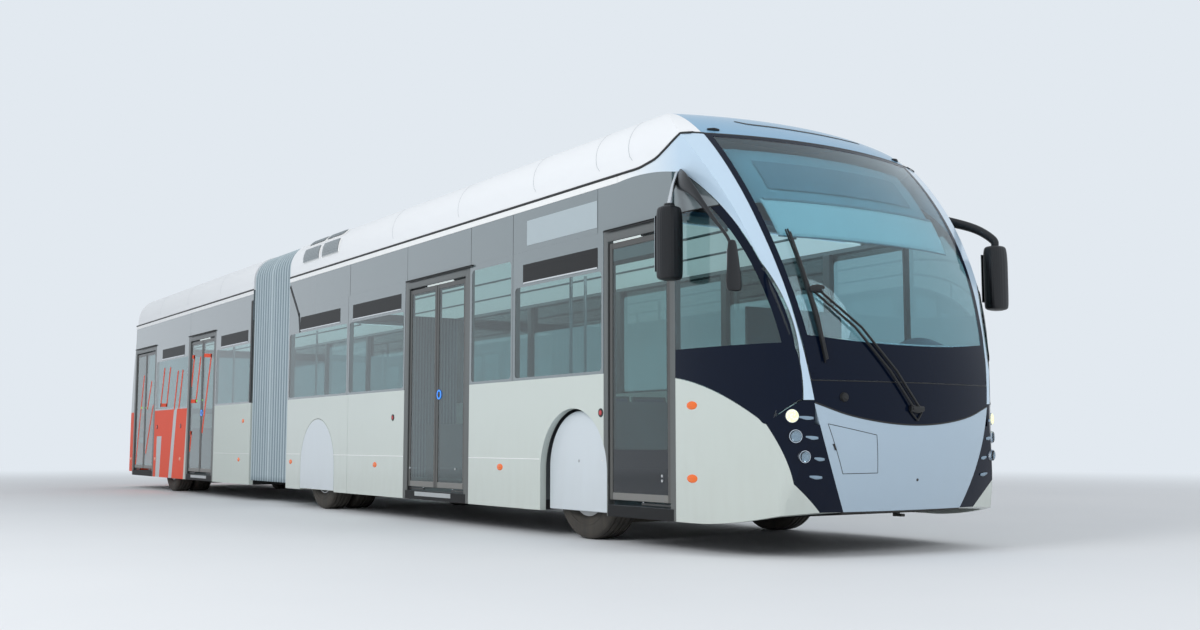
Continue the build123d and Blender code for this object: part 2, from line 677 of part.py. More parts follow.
def tail_form(inset):
    """Solid inside the tail, its skin set in by the given depth."""
    bow = TAIL_BOW_RADIUS - inset
    centre_x = TAIL_X + TAIL_BOW_RADIUS
    top = ROOF_Z + 200
    top_x = centre_x - sqrt(bow**2 - (top - TAIL_WAIST_Z) ** 2)
    with BuildPart() as form:
        with BuildSketch(Plane.XZ):
            with BuildLine():
                foot = Line((TAIL_START_X, TAIL_FOOT_Z), (TAIL_X + inset, TAIL_FOOT_Z))
                rise = Line(foot @ 1, (TAIL_X + inset, TAIL_WAIST_Z))
                lean = RadiusArc(rise @ 1, (top_x, top), bow)
                Polyline(lean @ 1, (ROOF_TAIL_X, top), (ROOF_TAIL_X, TAIL_FOOT_Z), foot @ 0)
            make_face()
        extrude(amount=HALF_WIDTH + 300, both=True)
        with BuildSketch(Plane.YZ.offset(TAIL_X)):
            add(roof_section(inset, TAIL_FOOT_Z))
        extrude(amount=1000, mode=Mode.INTERSECT)
        rear = form.edges().filter_by(lambda e: e.center().X < ROOF_TAIL_X - 300)
        above = rear.filter_by(lambda e: e.center().Z > TAIL_FOOT_Z + 50)
        loop = above.filter_by(lambda e: abs(e.center().Z - TAIL_WAIST_Z) > 1 or abs(e.center().Y) > 1)
        fillet(loop, TAIL_CORNER - inset)
    return form.part


tail_shell = tail_form(0) - tail_form(WALL)
tail_glass = tail_form(0) - tail_form(GLASS)


def tail_slice(z0, z1, source=tail_shell, end=TAIL_START_X):
    """The part of the tail's shell between two levels, behind the last side panels."""
    with BuildPart() as piece:
        add(source)
        block(TAIL_X - 10, end, -HALF_WIDTH - 10, HALF_WIDTH + 10, z0, z1, mode=Mode.INTERSECT)
    return piece.part


def lamp_places(margin):
    """Cut or keep the places of the tail lamps in the lower end wall."""
    mode = Mode.INTERSECT if margin == 0 else Mode.SUBTRACT
    places = [(TAIL_X, side * TAIL_LAMP_Y, TAIL_LAMP_Z) for side in (-1, 1)]
    with BuildPart(mode=Mode.PRIVATE) as boxes:
        with Locations(*places):
            Box(300, TAIL_LAMP_WIDTH + 2 * margin, TAIL_LAMP_HEIGHT + 2 * margin)
    add(boxes.part, mode=mode)


# Body sides of the rear section, with the lower end wall
with BuildPart() as rear_side_panels:
    for side, x0, x1 in REAR_PANELS:
        wall_box(side, x0 + SEAM / 2, x1 - SEAM / 2, SKIRT_Z, BELT_Z)
    add(tail_slice(TAIL_FOOT_Z, BELT_Z))
    lamp_places(SEAT_GAP)
save(rear_side_panels, "rear_side_panels")

# Upper panels of the rear section, with the frame round the rear window
with BuildPart() as rear_upper_panels:
    for side, x0, x1 in REAR_UPPER:
        wall_box(side, x0 + SEAM / 2, x1 - SEAM / 2, WINDOW_TOP_Z, GUTTER_Z)
    add(tail_slice(BELT_Z, GUTTER_Z))
    block(TAIL_X - 10, TAIL_START_X, -REAR_WINDOW_HALF, REAR_WINDOW_HALF, REAR_WINDOW_FOOT_Z,
          REAR_WINDOW_TOP_Z, mode=Mode.SUBTRACT)
save(rear_upper_panels, "rear_upper_panels")

with BuildPart() as rear_pillars:
    add(side_frame(REAR_PILLARS, DOORS[2:]))
save(rear_pillars, "rear_pillars")

with BuildPart() as rear_glass:
    add(tail_glass)
    block(TAIL_X - 10, TAIL_START_X, -REAR_WINDOW_HALF, REAR_WINDOW_HALF, REAR_WINDOW_FOOT_Z,
          REAR_WINDOW_TOP_Z, mode=Mode.INTERSECT)

with BuildPart() as rear_windows:
    for side, x0, x1 in REAR_PANES:
        wall_box(side, x0 + SEAM / 2, x1 - SEAM / 2, BELT_Z, WINDOW_TOP_Z, depth=GLASS)
    add(rear_glass.part)
save(rear_windows, "rear_windows")

with BuildPart() as rear_roof:
    with BuildSketch(Plane.YZ.offset(ROOF_TAIL_X)):
        add(roof_section(0))
        add(roof_section(WALL), mode=Mode.SUBTRACT)
    extrude(amount=REAR_START_X - ROOF_TAIL_X)
    add(tail_slice(GUTTER_Z, ROOF_Z + 10, end=ROOF_TAIL_X))
    block(TAIL_START_X, REAR_START_X, -INNER_Y, INNER_Y, CEILING_Z, CEILING_Z + CEILING_SHEET)
save(rear_roof, "rear_roof")

# Floor of the rear section, with the platform disc over the turntable
with BuildPart() as rear_floor:
    block(TAIL_START_X, REAR_START_X, -INNER_Y, INNER_Y, SKIRT_Z, FLOOR_Z)
    with BuildSketch(Plane.XY.offset(SKIRT_Z + SEAT_GAP)):
        with Locations((PIVOT_X, 0)):
            Circle(DISC_RADIUS)
        with BuildLine():
            Polyline((REAR_START_X, -NECK_HALF), (PIVOT_X, -500), (PIVOT_X, 500), (REAR_START_X, NECK_HALF),
                     (REAR_START_X, -NECK_HALF))
        make_face()
    extrude(amount=FLOOR_SLAB - SEAT_GAP)
    sills(DOORS[2:])
    wheelhouse(AXLE_3_X, TWIN_HOUSE_Y, TWIN_HOUSE_TOP_Z)
save(rear_floor, "rear_floor")

# Bellows: sides and roof of fabric on hoops, open over the platform disc below
with BuildPart() as bellows:
    with BuildSketch(Plane.YZ.offset(REAR_START_X + SEAT_GAP)):
        add(roof_section(BELLOWS_INSET, BELLOWS_FOOT_Z))
        add(roof_section(BELLOWS_INSET + BELLOWS_SKIN, BELLOWS_FOOT_Z), mode=Mode.SUBTRACT)
    extrude(amount=FRONT_END_X - REAR_START_X - 2 * SEAT_GAP)
save(bellows, "bellows")


def door_leaf_pair(name, jamb_x, toward, reach):
    """One door leaf and the turning column that carries it on two arms.

    The arms are as long as half the leaf's reach, so that its leading edge stays on the door's line.
    """
    column_x = jamb_x + toward * COLUMN_TO_JAMB
    arm = reach / 2
    pin_x = column_x + toward * arm
    line = DOOR_LINE_Y
    with BuildPart() as column:
        with Locations(Location((column_x, line, (FLOOR_Z + WINDOW_TOP_Z) / 2), (0, 0, 90 - 90 * toward))):
            Cylinder(COLUMN_RADIUS, WINDOW_TOP_Z - FLOOR_Z - 2 * SEAT_GAP)
        for arm_z in (LOW_ARM_Z, TOP_ARM_Z):
            with BuildSketch(Plane.XY.offset(arm_z)):
                with Locations(((column_x + pin_x) / 2, line)):
                    SlotCenterToCenter(arm, ARM_WIDTH)
                with Locations((pin_x, line)):
                    Circle(PIN_RADIUS + SEAT_GAP, mode=Mode.SUBTRACT)
            extrude(amount=ARM_THICK)
    save(column, f"{name}_column")

    near = column_x + toward * COLUMN_TO_LEAF
    far = column_x + toward * reach
    x0, x1 = sorted((near, far))
    outer = -(HALF_WIDTH - LEAF_RECESS)
    with BuildPart() as leaf:
        block(x0, x1, outer, outer + LEAF_THICK, LEAF_FOOT_Z, LEAF_TOP_Z)
        block(x0 + LEAF_FRAME, x1 - LEAF_FRAME, outer + LEAF_PANE, outer + LEAF_THICK,
              LEAF_FOOT_Z + LEAF_RAIL, LEAF_TOP_Z - LEAF_RAIL, mode=Mode.SUBTRACT)
        with Locations((pin_x, line, LEAF_FOOT_Z - (LEAF_FOOT_Z - LOW_ARM_Z) / 2)):
            Cylinder(PIN_RADIUS, LEAF_FOOT_Z - LOW_ARM_Z)
        with Locations((pin_x, line, (LEAF_TOP_Z + TOP_ARM_Z + ARM_THICK) / 2)):
            Cylinder(PIN_RADIUS, TOP_ARM_Z + ARM_THICK - LEAF_TOP_Z)
    save(leaf, f"{name}_leaf")


for name, rear, front, leaves in DOORS:
    opening = front - rear
    if leaves == 1:
        door_leaf_pair(name, front, -1, opening - COLUMN_TO_JAMB - LEAF_GAP)
    else:
        reach = opening / 2 - COLUMN_TO_JAMB - LEAF_GAP / 2
        door_leaf_pair(f"{name}_rear", rear, 1, reach)
        door_leaf_pair(f"{name}_front", front, -1, reach)


def tyre_outline():
    """Half section of a tyre about its axle: across by radius."""
    bead = RIM_RADIUS + SEAT_GAP
    half = TYRE_WIDTH / 2
    with BuildSketch() as section:
        with BuildLine():
            tread = Line((-TREAD_WIDTH / 2, WHEEL_RADIUS), (TREAD_WIDTH / 2, WHEEL_RADIUS))
            wall = ThreePointArc(tread @ 1, (half, 395), (RIM_WIDTH / 2, bead))
            seat = Line(wall @ 1, (-RIM_WIDTH / 2, bead))
            ThreePointArc(seat @ 1, (-half, 395), tread @ 0)
        make_face()
    return section.sketch


def tyres(name, x, centres):
    """The tyres of one wheel, one solid for each tyre."""
    with BuildPart() as rubber:
        for y in centres:
            with BuildSketch(Plane((x, y, WHEEL_RADIUS), x_dir=(0, 1, 0), z_dir=(1, 0, 0))):
                add(tyre_outline())
            revolve(axis=Axis((x, y, WHEEL_RADIUS), (0, 1, 0)), revolution_arc=360)
    save(rubber, name)


def rim_outline(dish, hub_radius, bore):
    """Half section of a rim about its axle: barrel, disc at the dish's place, and hub."""
    half = RIM_WIDTH / 2
    skin = 14
    with BuildSketch() as section:
        with BuildLine():
            Polyline((-half, RIM_RADIUS), (half, RIM_RADIUS), (half, RIM_RADIUS - skin),
                     (dish + 12, RIM_RADIUS - 3 * skin), (dish + 12, hub_radius), (dish + 50, hub_radius - 20),
                     (dish + 50, bore), (dish - 12, bore), (dish - 12, RIM_RADIUS - 3 * skin),
                     (-half, RIM_RADIUS - skin), (-half, RIM_RADIUS))
        make_face()
    return section.sketch


def rim(name, x, side, centres, dishes, spindle):
    """The rims of one wheel, joined at their discs by the hub."""
    with BuildPart() as wheel:
        for y, dish in zip(centres, dishes):
            plane = Plane((x, side * y, WHEEL_RADIUS), x_dir=(0, side, 0), z_dir=(side, 0, 0))
            with BuildSketch(plane):
                add(rim_outline(dish, HUB_RADIUS, spindle + SEAT_GAP))
            revolve(axis=Axis((x, 0, WHEEL_RADIUS), (0, 1, 0)), revolution_arc=360)
        if len(centres) > 1:
            inner = side * (centres[1] + dishes[1])
            outer = side * (centres[0] + dishes[0])
            with Locations(Location((x, (inner + outer) / 2, WHEEL_RADIUS), (90, 0, 0))):
                Cylinder(HUB_RADIUS, abs(outer - inner))
                Cylinder(spindle + SEAT_GAP, abs(outer - inner) + 30, mode=Mode.SUBTRACT)
    save(wheel, name)


TWIN_CENTRES = (TWIN_OUTER_Y - TYRE_WIDTH / 2, TWIN_OUTER_Y - TYRE_WIDTH * 1.5 - TWIN_GAP)
for side, hand in ((1, "left"), (-1, "right")):
    tyres(f"front_tyre_{hand}", AXLE_1_X, (side * STEER_WHEEL_Y,))
    rim(f"front_rim_{hand}", AXLE_1_X, side, (STEER_WHEEL_Y,), (STEER_DISH,), SPINDLE_RADIUS)
    for axle, x in (("middle", AXLE_2_X), ("rear", AXLE_3_X)):
        tyres(f"{axle}_tyres_{hand}", x, [side * y for y in TWIN_CENTRES])
        rim(f"{axle}_rims_{hand}", x, side, TWIN_CENTRES, TWIN_DISHES, SPINDLE_RADIUS)


def knuckle(side, hand):
    """Steering knuckle: two ears on the kingpin, a web, the spindle and the bracket of the cover."""
    z = WHEEL_RADIUS
    y = side * STEER_WHEEL_Y
    ear_top = z + BOSS_HEIGHT / 2 + SEAT_GAP
    web_y0 = y + side * (BOSS_RADIUS + WEB_GAP)
    web_y1 = web_y0 + side * WEB_THICK
    with BuildPart() as carrier:
        with Locations((AXLE_1_X, y, z)):
            Cylinder(KINGPIN_RADIUS, BOSS_HEIGHT + 2 * EAR_THICK)
        for ear_z in (ear_top, 2 * z - ear_top - EAR_THICK):
            with Locations((AXLE_1_X, y, ear_z + EAR_THICK / 2)):
                Cylinder(BOSS_RADIUS, EAR_THICK)
            w0, w1 = sorted((y, web_y1))
            block(AXLE_1_X - BOSS_RADIUS, AXLE_1_X + BOSS_RADIUS, w0, w1, ear_z, ear_z + EAR_THICK)
        w0, w1 = sorted((web_y0, web_y1))
        block(AXLE_1_X - BOSS_RADIUS, AXLE_1_X + BOSS_RADIUS, w0, w1, 2 * z - ear_top - EAR_THICK,
              ear_top + EAR_THICK)
        tip = side * (STEER_WHEEL_Y + STEER_DISH + 40)
        with Locations(Location((AXLE_1_X, (web_y1 + tip) / 2, z), (90, 0, 0))):
            Cylinder(SPINDLE_RADIUS, abs(tip - web_y1))
        b0, b1 = sorted((y, side * BRACKET_Y))
        block(AXLE_1_X - 30, AXLE_1_X + 30, b0, b1, ear_top, ear_top + EAR_THICK)
        b0, b1 = sorted((side * BRACKET_Y, side * (BRACKET_Y + 16)))
        block(AXLE_1_X - 30, AXLE_1_X + 30, b0, b1, ear_top, BRACKET_TOP_Z)
        b0, b1 = sorted((side * BRACKET_Y, side * (COVER_Y - COVER_PLATE)))
        block(AXLE_1_X - 30, AXLE_1_X + 30, b0, b1, BRACKET_TOP_Z - 14, BRACKET_TOP_Z)
    save(carrier, f"knuckle_{hand}")

    with BuildPart() as cover:
        with BuildSketch(Plane.XZ.offset(-side * COVER_Y)):
            add(arch(AXLE_1_X, STEER_COVER_HALF, STEER_COVER_TOP_Z, COVER_FOOT_Z))
        extrude(amount=side * COVER_PLATE)
    save(cover, f"wheel_cover_{hand}")


knuckle(1, "left")
knuckle(-1, "right")


def axle_beam(x, rise_y, end_y):
    """Dropped axle beam: low under the aisle, rising beside each wheel to the wheel's centre."""
    z = WHEEL_RADIUS
    half = BEAM_HEIGHT / 2
    with BuildSketch(Plane.YZ.offset(x - BEAM_HALF_X)) as profile:
        with BuildLine():
            Polyline((0, BEAM_FOOT_Z), (rise_y, BEAM_FOOT_Z), (rise_y, z - half), (end_y, z - half),
                     (end_y, z + half), (rise_y - BEAM_HEIGHT, z + half),
                     (rise_y - BEAM_HEIGHT, BEAM_FOOT_Z + BEAM_HEIGHT), (0, BEAM_FOOT_Z + BEAM_HEIGHT),
                     (0, BEAM_FOOT_Z))
        make_face()
        mirror(about=Plane.YZ)
    extrude(profile.sketch, amount=2 * BEAM_HALF_X)
    for side in (-1, 1):
        y0, y1 = sorted((side * PAD_Y, side * (PAD_Y + 160)))
        block(x - BEAM_HALF_X, x + BEAM_HALF_X, y0, y1, BEAM_FOOT_Z + BEAM_HEIGHT, SKIRT_Z - SEAT_GAP)


def spindles(x):
    """Fixed spindles of one pair of twin wheels, out from the ends of the beam."""
    start = TWIN_CENTRES[1] + TWIN_DISHES[1] - 40
    stop = TWIN_CENTRES[0] + TWIN_DISHES[0] + 40
    for side in (-1, 1):
        with Locations(Location((x, side * (start + stop) / 2, WHEEL_RADIUS), (90, 0, 0))):
            Cylinder(SPINDLE_RADIUS, stop - start)


# Axles of the front section: steered beam with kingpin bosses, and the middle axle with its spindles
with BuildPart() as front_axles:
    axle_beam(AXLE_1_X, STEER_RISE_Y, STEER_WHEEL_Y - BOSS_RADIUS + 4)
    for side in (-1, 1):
        with Locations((AXLE_1_X, side * STEER_WHEEL_Y, WHEEL_RADIUS)):
            Cylinder(BOSS_RADIUS, BOSS_HEIGHT)
            Cylinder(KINGPIN_RADIUS + SEAT_GAP, BOSS_HEIGHT + 20, mode=Mode.SUBTRACT)
    axle_beam(AXLE_2_X, TWIN_RISE_Y, TWIN_CENTRES[1] + TWIN_DISHES[1] - 30)
    spindles(AXLE_2_X)
save(front_axles, "front_axles")

with BuildPart() as rear_axle:
    axle_beam(AXLE_3_X, TWIN_RISE_Y, TWIN_CENTRES[1] + TWIN_DISHES[1] - 30)
    spindles(AXLE_3_X)
save(rear_axle, "rear_axle")

# Heavy masses: traction battery under the roof fairing, drive motor ahead of the middle axle
with BuildPart() as drive_blocks:
    block(900, 4900, -850, 850, CEILING_Z + CEILING_SHEET, CEILING_Z + 640)
    block(1250, 1850, 620, 1180, FLOOR_Z, FLOOR_Z + 520)
save(drive_blocks, "drive_blocks")

# Steering wheel on its raked column, with the dashboard that carries it
STEER_PLANE = Plane((HELM_X, HELM_Y, HELM_Z), x_dir=(0, 1, 0),
                    z_dir=(-sin(radians(HELM_RAKE)), 0, cos(radians(HELM_RAKE))))
with BuildPart() as steering_wheel:
    with BuildSketch(Plane((HELM_X, HELM_Y, HELM_Z), x_dir=STEER_PLANE.x_dir, z_dir=STEER_PLANE.y_dir)):
        with Locations((HELM_RADIUS, 0)):
            Circle(HELM_GRIP)
    revolve(axis=Axis(STEER_PLANE.origin, STEER_PLANE.z_dir), revolution_arc=360)
    with BuildSketch(STEER_PLANE.offset(-HELM_GRIP / 2)):
        Circle(60)
        with PolarLocations(0, 3):
            with Locations((HELM_RADIUS / 2, 0)):
                Rectangle(HELM_RADIUS, 36)
    extrude(amount=HELM_GRIP)
save(steering_wheel, "steering_wheel")

with BuildPart() as dashboard:
    with BuildSketch(Plane.XZ.offset(-1080)):
        with BuildLine():
            Polyline((8330, PLATFORM_Z), (8330, 1150), (8420, 1300), (9060, 1180), (9060, 900), (8900, 700),
                     (8600, 600), (8600, PLATFORM_Z), (8330, PLATFORM_Z))
        make_face()
    extrude(amount=1960)
    add(front_form(WALL + 12), mode=Mode.INTERSECT)
    with Locations(Location(STEER_PLANE.location * Location((0, 0, -HELM_GRIP / 2 - SEAT_GAP - 130)))):
        Cylinder(38, 260)
save(dashboard, "dashboard")


def seat(x, y, z, width=SEAT_WIDTH):
    """One seat facing forward: cushion and back in one shell on a pedestal."""
    with BuildSketch(Plane.XZ.offset(-y - width / 2)) as shell:
        with BuildLine():
            Polyline((x + 220, z + 380), (x + 220, z + 440), (x - 160, z + 430), (x - 290, z + 1000),
                     (x - 350, z + 990), (x - 230, z + 370), (x - 60, z + 360), (x - 60, z), (x + 60, z),
                     (x + 60, z + 360), (x + 220, z + 380))
        make_face()
    extrude(shell.sketch, amount=width)


with BuildPart() as front_seats:
    for x, y in FRONT_SEATS:
        seat(x, y, FLOOR_Z)
    seat(HELM_X - 520, HELM_Y, PLATFORM_Z, DRIVER_SEAT_WIDTH)
save(front_seats, "front_seats")

with BuildPart() as rear_seats:
    for x, y in REAR_SEATS:
        seat(x, y, FLOOR_Z)
save(rear_seats, "rear_seats")


def poles(places):
    """Upright grab poles from floor to ceiling."""
    for x, y in places:
        with Locations((x, y, (FLOOR_Z + CEILING_Z) / 2)):
            Cylinder(POLE_RADIUS, CEILING_Z - FLOOR_Z)


with BuildPart() as front_handrails:
    poles(FRONT_POLES)
    block(PARTITION_X, PARTITION_X + 30, 100, INNER_Y, FLOOR_Z, PARTITION_TOP_Z)
save(front_handrails, "front_handrails")

with BuildPart() as rear_handrails:
    poles(REAR_POLES)
save(rear_handrails, "rear_handrails")

def mirror_arm(places, side, radius):
    """A round arm bent through the given places."""
    with BuildPart() as arm:
        with BuildLine() as path:
            Polyline(*[(x, side * y, z) for x, y, z in places])
        with BuildSketch(Plane(path.line @ 0, z_dir=path.line % 0)):
            Circle(radius)
        sweep(path=path.line, transition=Transition.ROUND)
    return arm.part


def mirror_head(top, side, depth, width, height, turn):
    """A rounded mirror housing that hangs from the end of its arm."""
    x, y, z = top
    with BuildPart() as head:
        with Locations((x, side * y, z - height / 2)):
            Box(depth, width, height)
        fillet(head.edges().filter_by(Axis.Z), turn)
    return head.part


# Mirrors on their arms, seated on the curved skin
with BuildPart() as mirrors:
    for side, places in MIRRORS:
        add(mirror_arm(places, side, MIRROR_ARM_RADIUS))
        add(mirror_head(places[-1], side, MIRROR_DEPTH, MIRROR_WIDTH, MIRROR_HEIGHT, MIRROR_ROUND))
    add(mirror_arm(SICKLE, -1, SICKLE_RADIUS))
    door_mirror = (SICKLE[-1][0], SICKLE[-1][1], DOOR_MIRROR_TOP_Z)
    add(mirror_head(door_mirror, -1, DOOR_MIRROR_DEPTH, DOOR_MIRROR_WIDTH, DOOR_MIRROR_HEIGHT,
                    DOOR_MIRROR_ROUND))
    add(front_form(0), mode=Mode.SUBTRACT)
save(mirrors, "mirrors")


def screen_point(y, z, off):
    """A point over the windscreen at the given place across and up, off its face."""
    on_centre = NOSE_X - SCREEN_RADIUS + sqrt(SCREEN_RADIUS**2 - (z - NOSE_LEVEL_Z) ** 2)
    return FRONT_TURN_X + sqrt((on_centre + off - FRONT_TURN_X) ** 2 - y**2), y, z


# Wiper: two arms from the spindle to the blade's carrier, and the blade
with BuildPart() as wiper:
    for radius, places in WIPER_RODS:
        with BuildLine() as rod:
            Polyline(*[screen_point(y, z, WIPER_OFF) for y, z in places])
        with BuildSketch(Plane(rod.line @ 0, z_dir=rod.line % 0)):
            Circle(radius)
        sweep(path=rod.line, transition=Transition.ROUND)
    foot = screen_point(WIPER_FOOT[0], WIPER_FOOT[1], WIPER_OFF / 2)
    with Locations(Location(foot, (0, 90, 0))):
        Cylinder(26, WIPER_OFF + 4)
    add(front_form(0), mode=Mode.SUBTRACT)
save(wiper, "wiper")

# Tail lamps, one upright cluster flush in each rear corner
with BuildPart() as tail_lamps:
    add(tail_shell)
    lamp_places(0)
save(tail_lamps, "tail_lamps")
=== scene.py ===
from math import asin, atan2, cos, pi, radians, sin, sqrt

import bmesh
import bpy
from mathutils import Matrix, Vector
from mathutils.bvhtree import BVHTree


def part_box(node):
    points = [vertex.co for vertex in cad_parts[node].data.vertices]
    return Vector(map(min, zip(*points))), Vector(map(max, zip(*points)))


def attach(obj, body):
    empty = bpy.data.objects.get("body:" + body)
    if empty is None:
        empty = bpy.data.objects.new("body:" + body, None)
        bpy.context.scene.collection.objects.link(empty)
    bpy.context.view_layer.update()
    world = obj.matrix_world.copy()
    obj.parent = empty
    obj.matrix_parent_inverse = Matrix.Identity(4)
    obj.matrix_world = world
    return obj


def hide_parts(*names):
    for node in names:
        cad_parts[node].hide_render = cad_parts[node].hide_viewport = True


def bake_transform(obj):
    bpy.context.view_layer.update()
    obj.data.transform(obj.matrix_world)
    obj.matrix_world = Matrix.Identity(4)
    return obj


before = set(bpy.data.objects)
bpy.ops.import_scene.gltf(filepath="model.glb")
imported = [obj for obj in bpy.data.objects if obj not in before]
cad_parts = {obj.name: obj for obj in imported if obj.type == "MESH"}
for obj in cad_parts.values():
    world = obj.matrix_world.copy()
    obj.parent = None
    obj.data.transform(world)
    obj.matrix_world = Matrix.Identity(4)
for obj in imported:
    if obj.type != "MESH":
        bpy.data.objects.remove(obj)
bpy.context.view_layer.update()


# Studio: a pale floor under the bus, one large soft lamp on the door side and a weaker one
# in front of the cab, and an even sky. The camera stands low at the front right corner.
def tint(red, green, blue):
    """Linear colour from the 0 to 255 values of a paint chip."""
    values = [channel / 255 for channel in (red, green, blue)]
    return tuple(v / 12.92 if v <= 0.04045 else ((v + 0.055) / 1.055) ** 2.4 for v in values) + (1,)


def shown(name, data):
    """An object of a mesh, lamp or camera in the scene."""
    made = bpy.data.objects.new(name, data)
    bpy.context.scene.collection.objects.link(made)
    return made


def soft_lamp(name, place, aim, size, power):
    light = bpy.data.lights.new(name, "AREA")
    light.shape = "DISK"
    light.size = size
    light.energy = power
    lamp = shown(name, light)
    lamp.location = place
    lamp.rotation_euler = (Vector(aim) - Vector(place)).to_track_quat("-Z", "Y").to_euler()
    lamp.visible_glossy = False


def feed(tree, made, feeds):
    """Sets the inputs of a node from values, or links them to outputs of other nodes."""
    for key, value in feeds.items() if isinstance(feeds, dict) else enumerate(feeds):
        if isinstance(value, bpy.types.NodeSocket):
            tree.links.new(value, made.inputs[key])
        else:
            made.inputs[key].default_value = value


def node(tree, kind, feeds=(), **settings):
    made = tree.nodes.new("ShaderNode" + kind)
    for name, value in settings.items():
        setattr(made, name, value)
    feed(tree, made, feeds)
    return made


def maths(tree, operation, *values, clamp=False):
    """Result of a sum over values or outputs."""
    return node(tree, "Math", values, operation=operation, use_clamp=clamp).outputs[0]


def mixed(tree, share, first, second):
    """Colour between a first and a second one."""
    return node(tree, "Mix", {"Factor": share, "A": first, "B": second}, data_type="RGBA").outputs["Result"]


def own_place(tree):
    """Where a point lies on its piece, as one output."""
    return node(tree, "TexCoord").outputs["Object"]


def axes(tree):
    """X, Y and Z of where a point lies, as three outputs."""
    return node(tree, "SeparateXYZ", [own_place(tree)]).outputs


def new_material(name):
    material = bpy.data.materials.new(name)
    material.use_nodes = True
    return material, material.node_tree, material.node_tree.nodes["Principled BSDF"]


def seen_rays(tree):
    """1 for a ray that ends in the picture, straight, by reflection or through glass."""
    rays = node(tree, "LightPath").outputs
    seen = maths(tree, "ADD", rays["Is Camera Ray"], rays["Is Glossy Ray"])
    return maths(tree, "ADD", seen, rays["Is Transmission Ray"], clamp=True)


def choose(tree, share, first, second, out):
    """Mixes two shaders and puts the result into an output node."""
    choice = node(tree, "MixShader", [share, first.outputs[0], second.outputs[0]])
    feed(tree, out, {"Surface": choice.outputs[0]})


view = bpy.data.cameras.new("photo_view")
view.lens = 38.19
view.sensor_width = 36
view.clip_end = 400
camera = shown("photo_view", view)
camera.location = (15.847, -7.014, 0.812)
camera.rotation_euler = (radians(95.743), 0, radians(56.928))
bpy.context.scene.camera = camera
bpy.context.scene.view_settings.view_transform = "Standard"

soft_lamp("door_side_lamp", (9, -16, 11), (1, 0, 1.4), 9, 1500)
soft_lamp("cab_lamp", (22, 4, 9), (7, 0, 1.8), 7, 700)

BACKDROP = tint(226, 233, 240)
sky = bpy.data.worlds.new("studio_sky")
sky.use_nodes = True
tree = sky.node_tree
tree.nodes.clear()
even_light = node(tree, "Background", {"Color": tint(250, 252, 255), "Strength": 0.62})
backdrop = node(tree, "Background", {"Color": BACKDROP})
choose(tree, seen_rays(tree), even_light, backdrop, node(tree, "OutputWorld"))
bpy.context.scene.world = sky

ground = bmesh.new()
bmesh.ops.create_circle(ground, cap_ends=True, segments=96, radius=130)
ground_mesh = bpy.data.meshes.new("studio_floor")
ground.to_mesh(ground_mesh)
ground.free()
pale_floor, tree, concrete = new_material("pale_floor")
where = own_place(tree)
cloud = node(tree, "TexNoise", {"Vector": where, "Scale": 0.35, "Detail": 6})
shade = mixed(tree, cloud.outputs["Fac"], tint(222, 226, 230), tint(230, 233, 236))
feed(tree, concrete, {"Base Color": shade, "Roughness": 0.7, "Specular IOR Level": 0.2})
far_off = node(tree, "VectorMath", [where], operation="LENGTH").outputs["Value"]
fade = node(
    tree, "MapRange", {"Value": far_off, "From Min": 9.5, "From Max": 27}, interpolation_type="SMOOTHSTEP"
)
share = maths(tree, "MULTIPLY", fade.outputs["Result"], seen_rays(tree))
choose(tree, share, concrete, node(tree, "Emission", {"Color": BACKDROP}), tree.nodes["Material Output"])
ground_mesh.materials.append(pale_floor)
shown("studio_floor", ground_mesh)


# Finishes that several pieces share: road dust that gathers near the skirt, and a fine
# surface grain. Both only put out a colour, a roughness or a height.
def new_group(name, inputs, outputs):
    """A node group with its values and what it puts out; colours are given as four numbers."""
    group = bpy.data.node_groups.new(name, "ShaderNodeTree")
    for label, value in inputs.items():
        kind = "NodeSocketColor" if isinstance(value, tuple) else "NodeSocketFloat"
        group.interface.new_socket(label, in_out="INPUT", socket_type=kind).default_value = value
    for label in outputs:
        kind = "NodeSocketColor" if label == "Color" else "NodeSocketFloat"
        group.interface.new_socket(label, in_out="OUTPUT", socket_type=kind)
    return group, group.nodes.new("NodeGroupInput").outputs, group.nodes.new("NodeGroupOutput")


dust, given, result = new_group(
    "road_dust", {"Color": (0.8, 0.8, 0.8, 1), "Dust": 0.3, "Roughness": 0.3}, ("Color", "Roughness")
)
stretch = node(dust, "Mapping", {"Vector": own_place(dust), "Scale": (5, 5, 1.1)})
streaks = node(dust, "TexNoise", {"Vector": stretch.outputs["Vector"], "Scale": 2.2, "Detail": 7})
low_down = node(dust, "MapRange", {
    "Value": axes(dust)["Z"], "From Min": 0.15, "From Max": 1.1, "To Min": 1, "To Max": 0.12,
})
patchy = maths(dust, "MULTIPLY", low_down.outputs["Result"], streaks.outputs["Fac"])
amount = maths(dust, "MULTIPLY", patchy, given["Dust"])
feed(dust, result, {
    "Color": mixed(dust, amount, given["Color"], tint(150, 140, 124)),
    "Roughness": maths(dust, "MULTIPLY_ADD", amount, 0.6, given["Roughness"]),
})

grain, given, result = new_group("surface_grain", {"Scale": 400.0, "Depth": 1.0}, ("Height",))
pebbles = node(grain, "TexNoise", {"Vector": own_place(grain), "Scale": given["Scale"], "Detail": 3})
feed(grain, result, {"Height": maths(grain, "MULTIPLY", pebbles.outputs["Fac"], given["Depth"])})


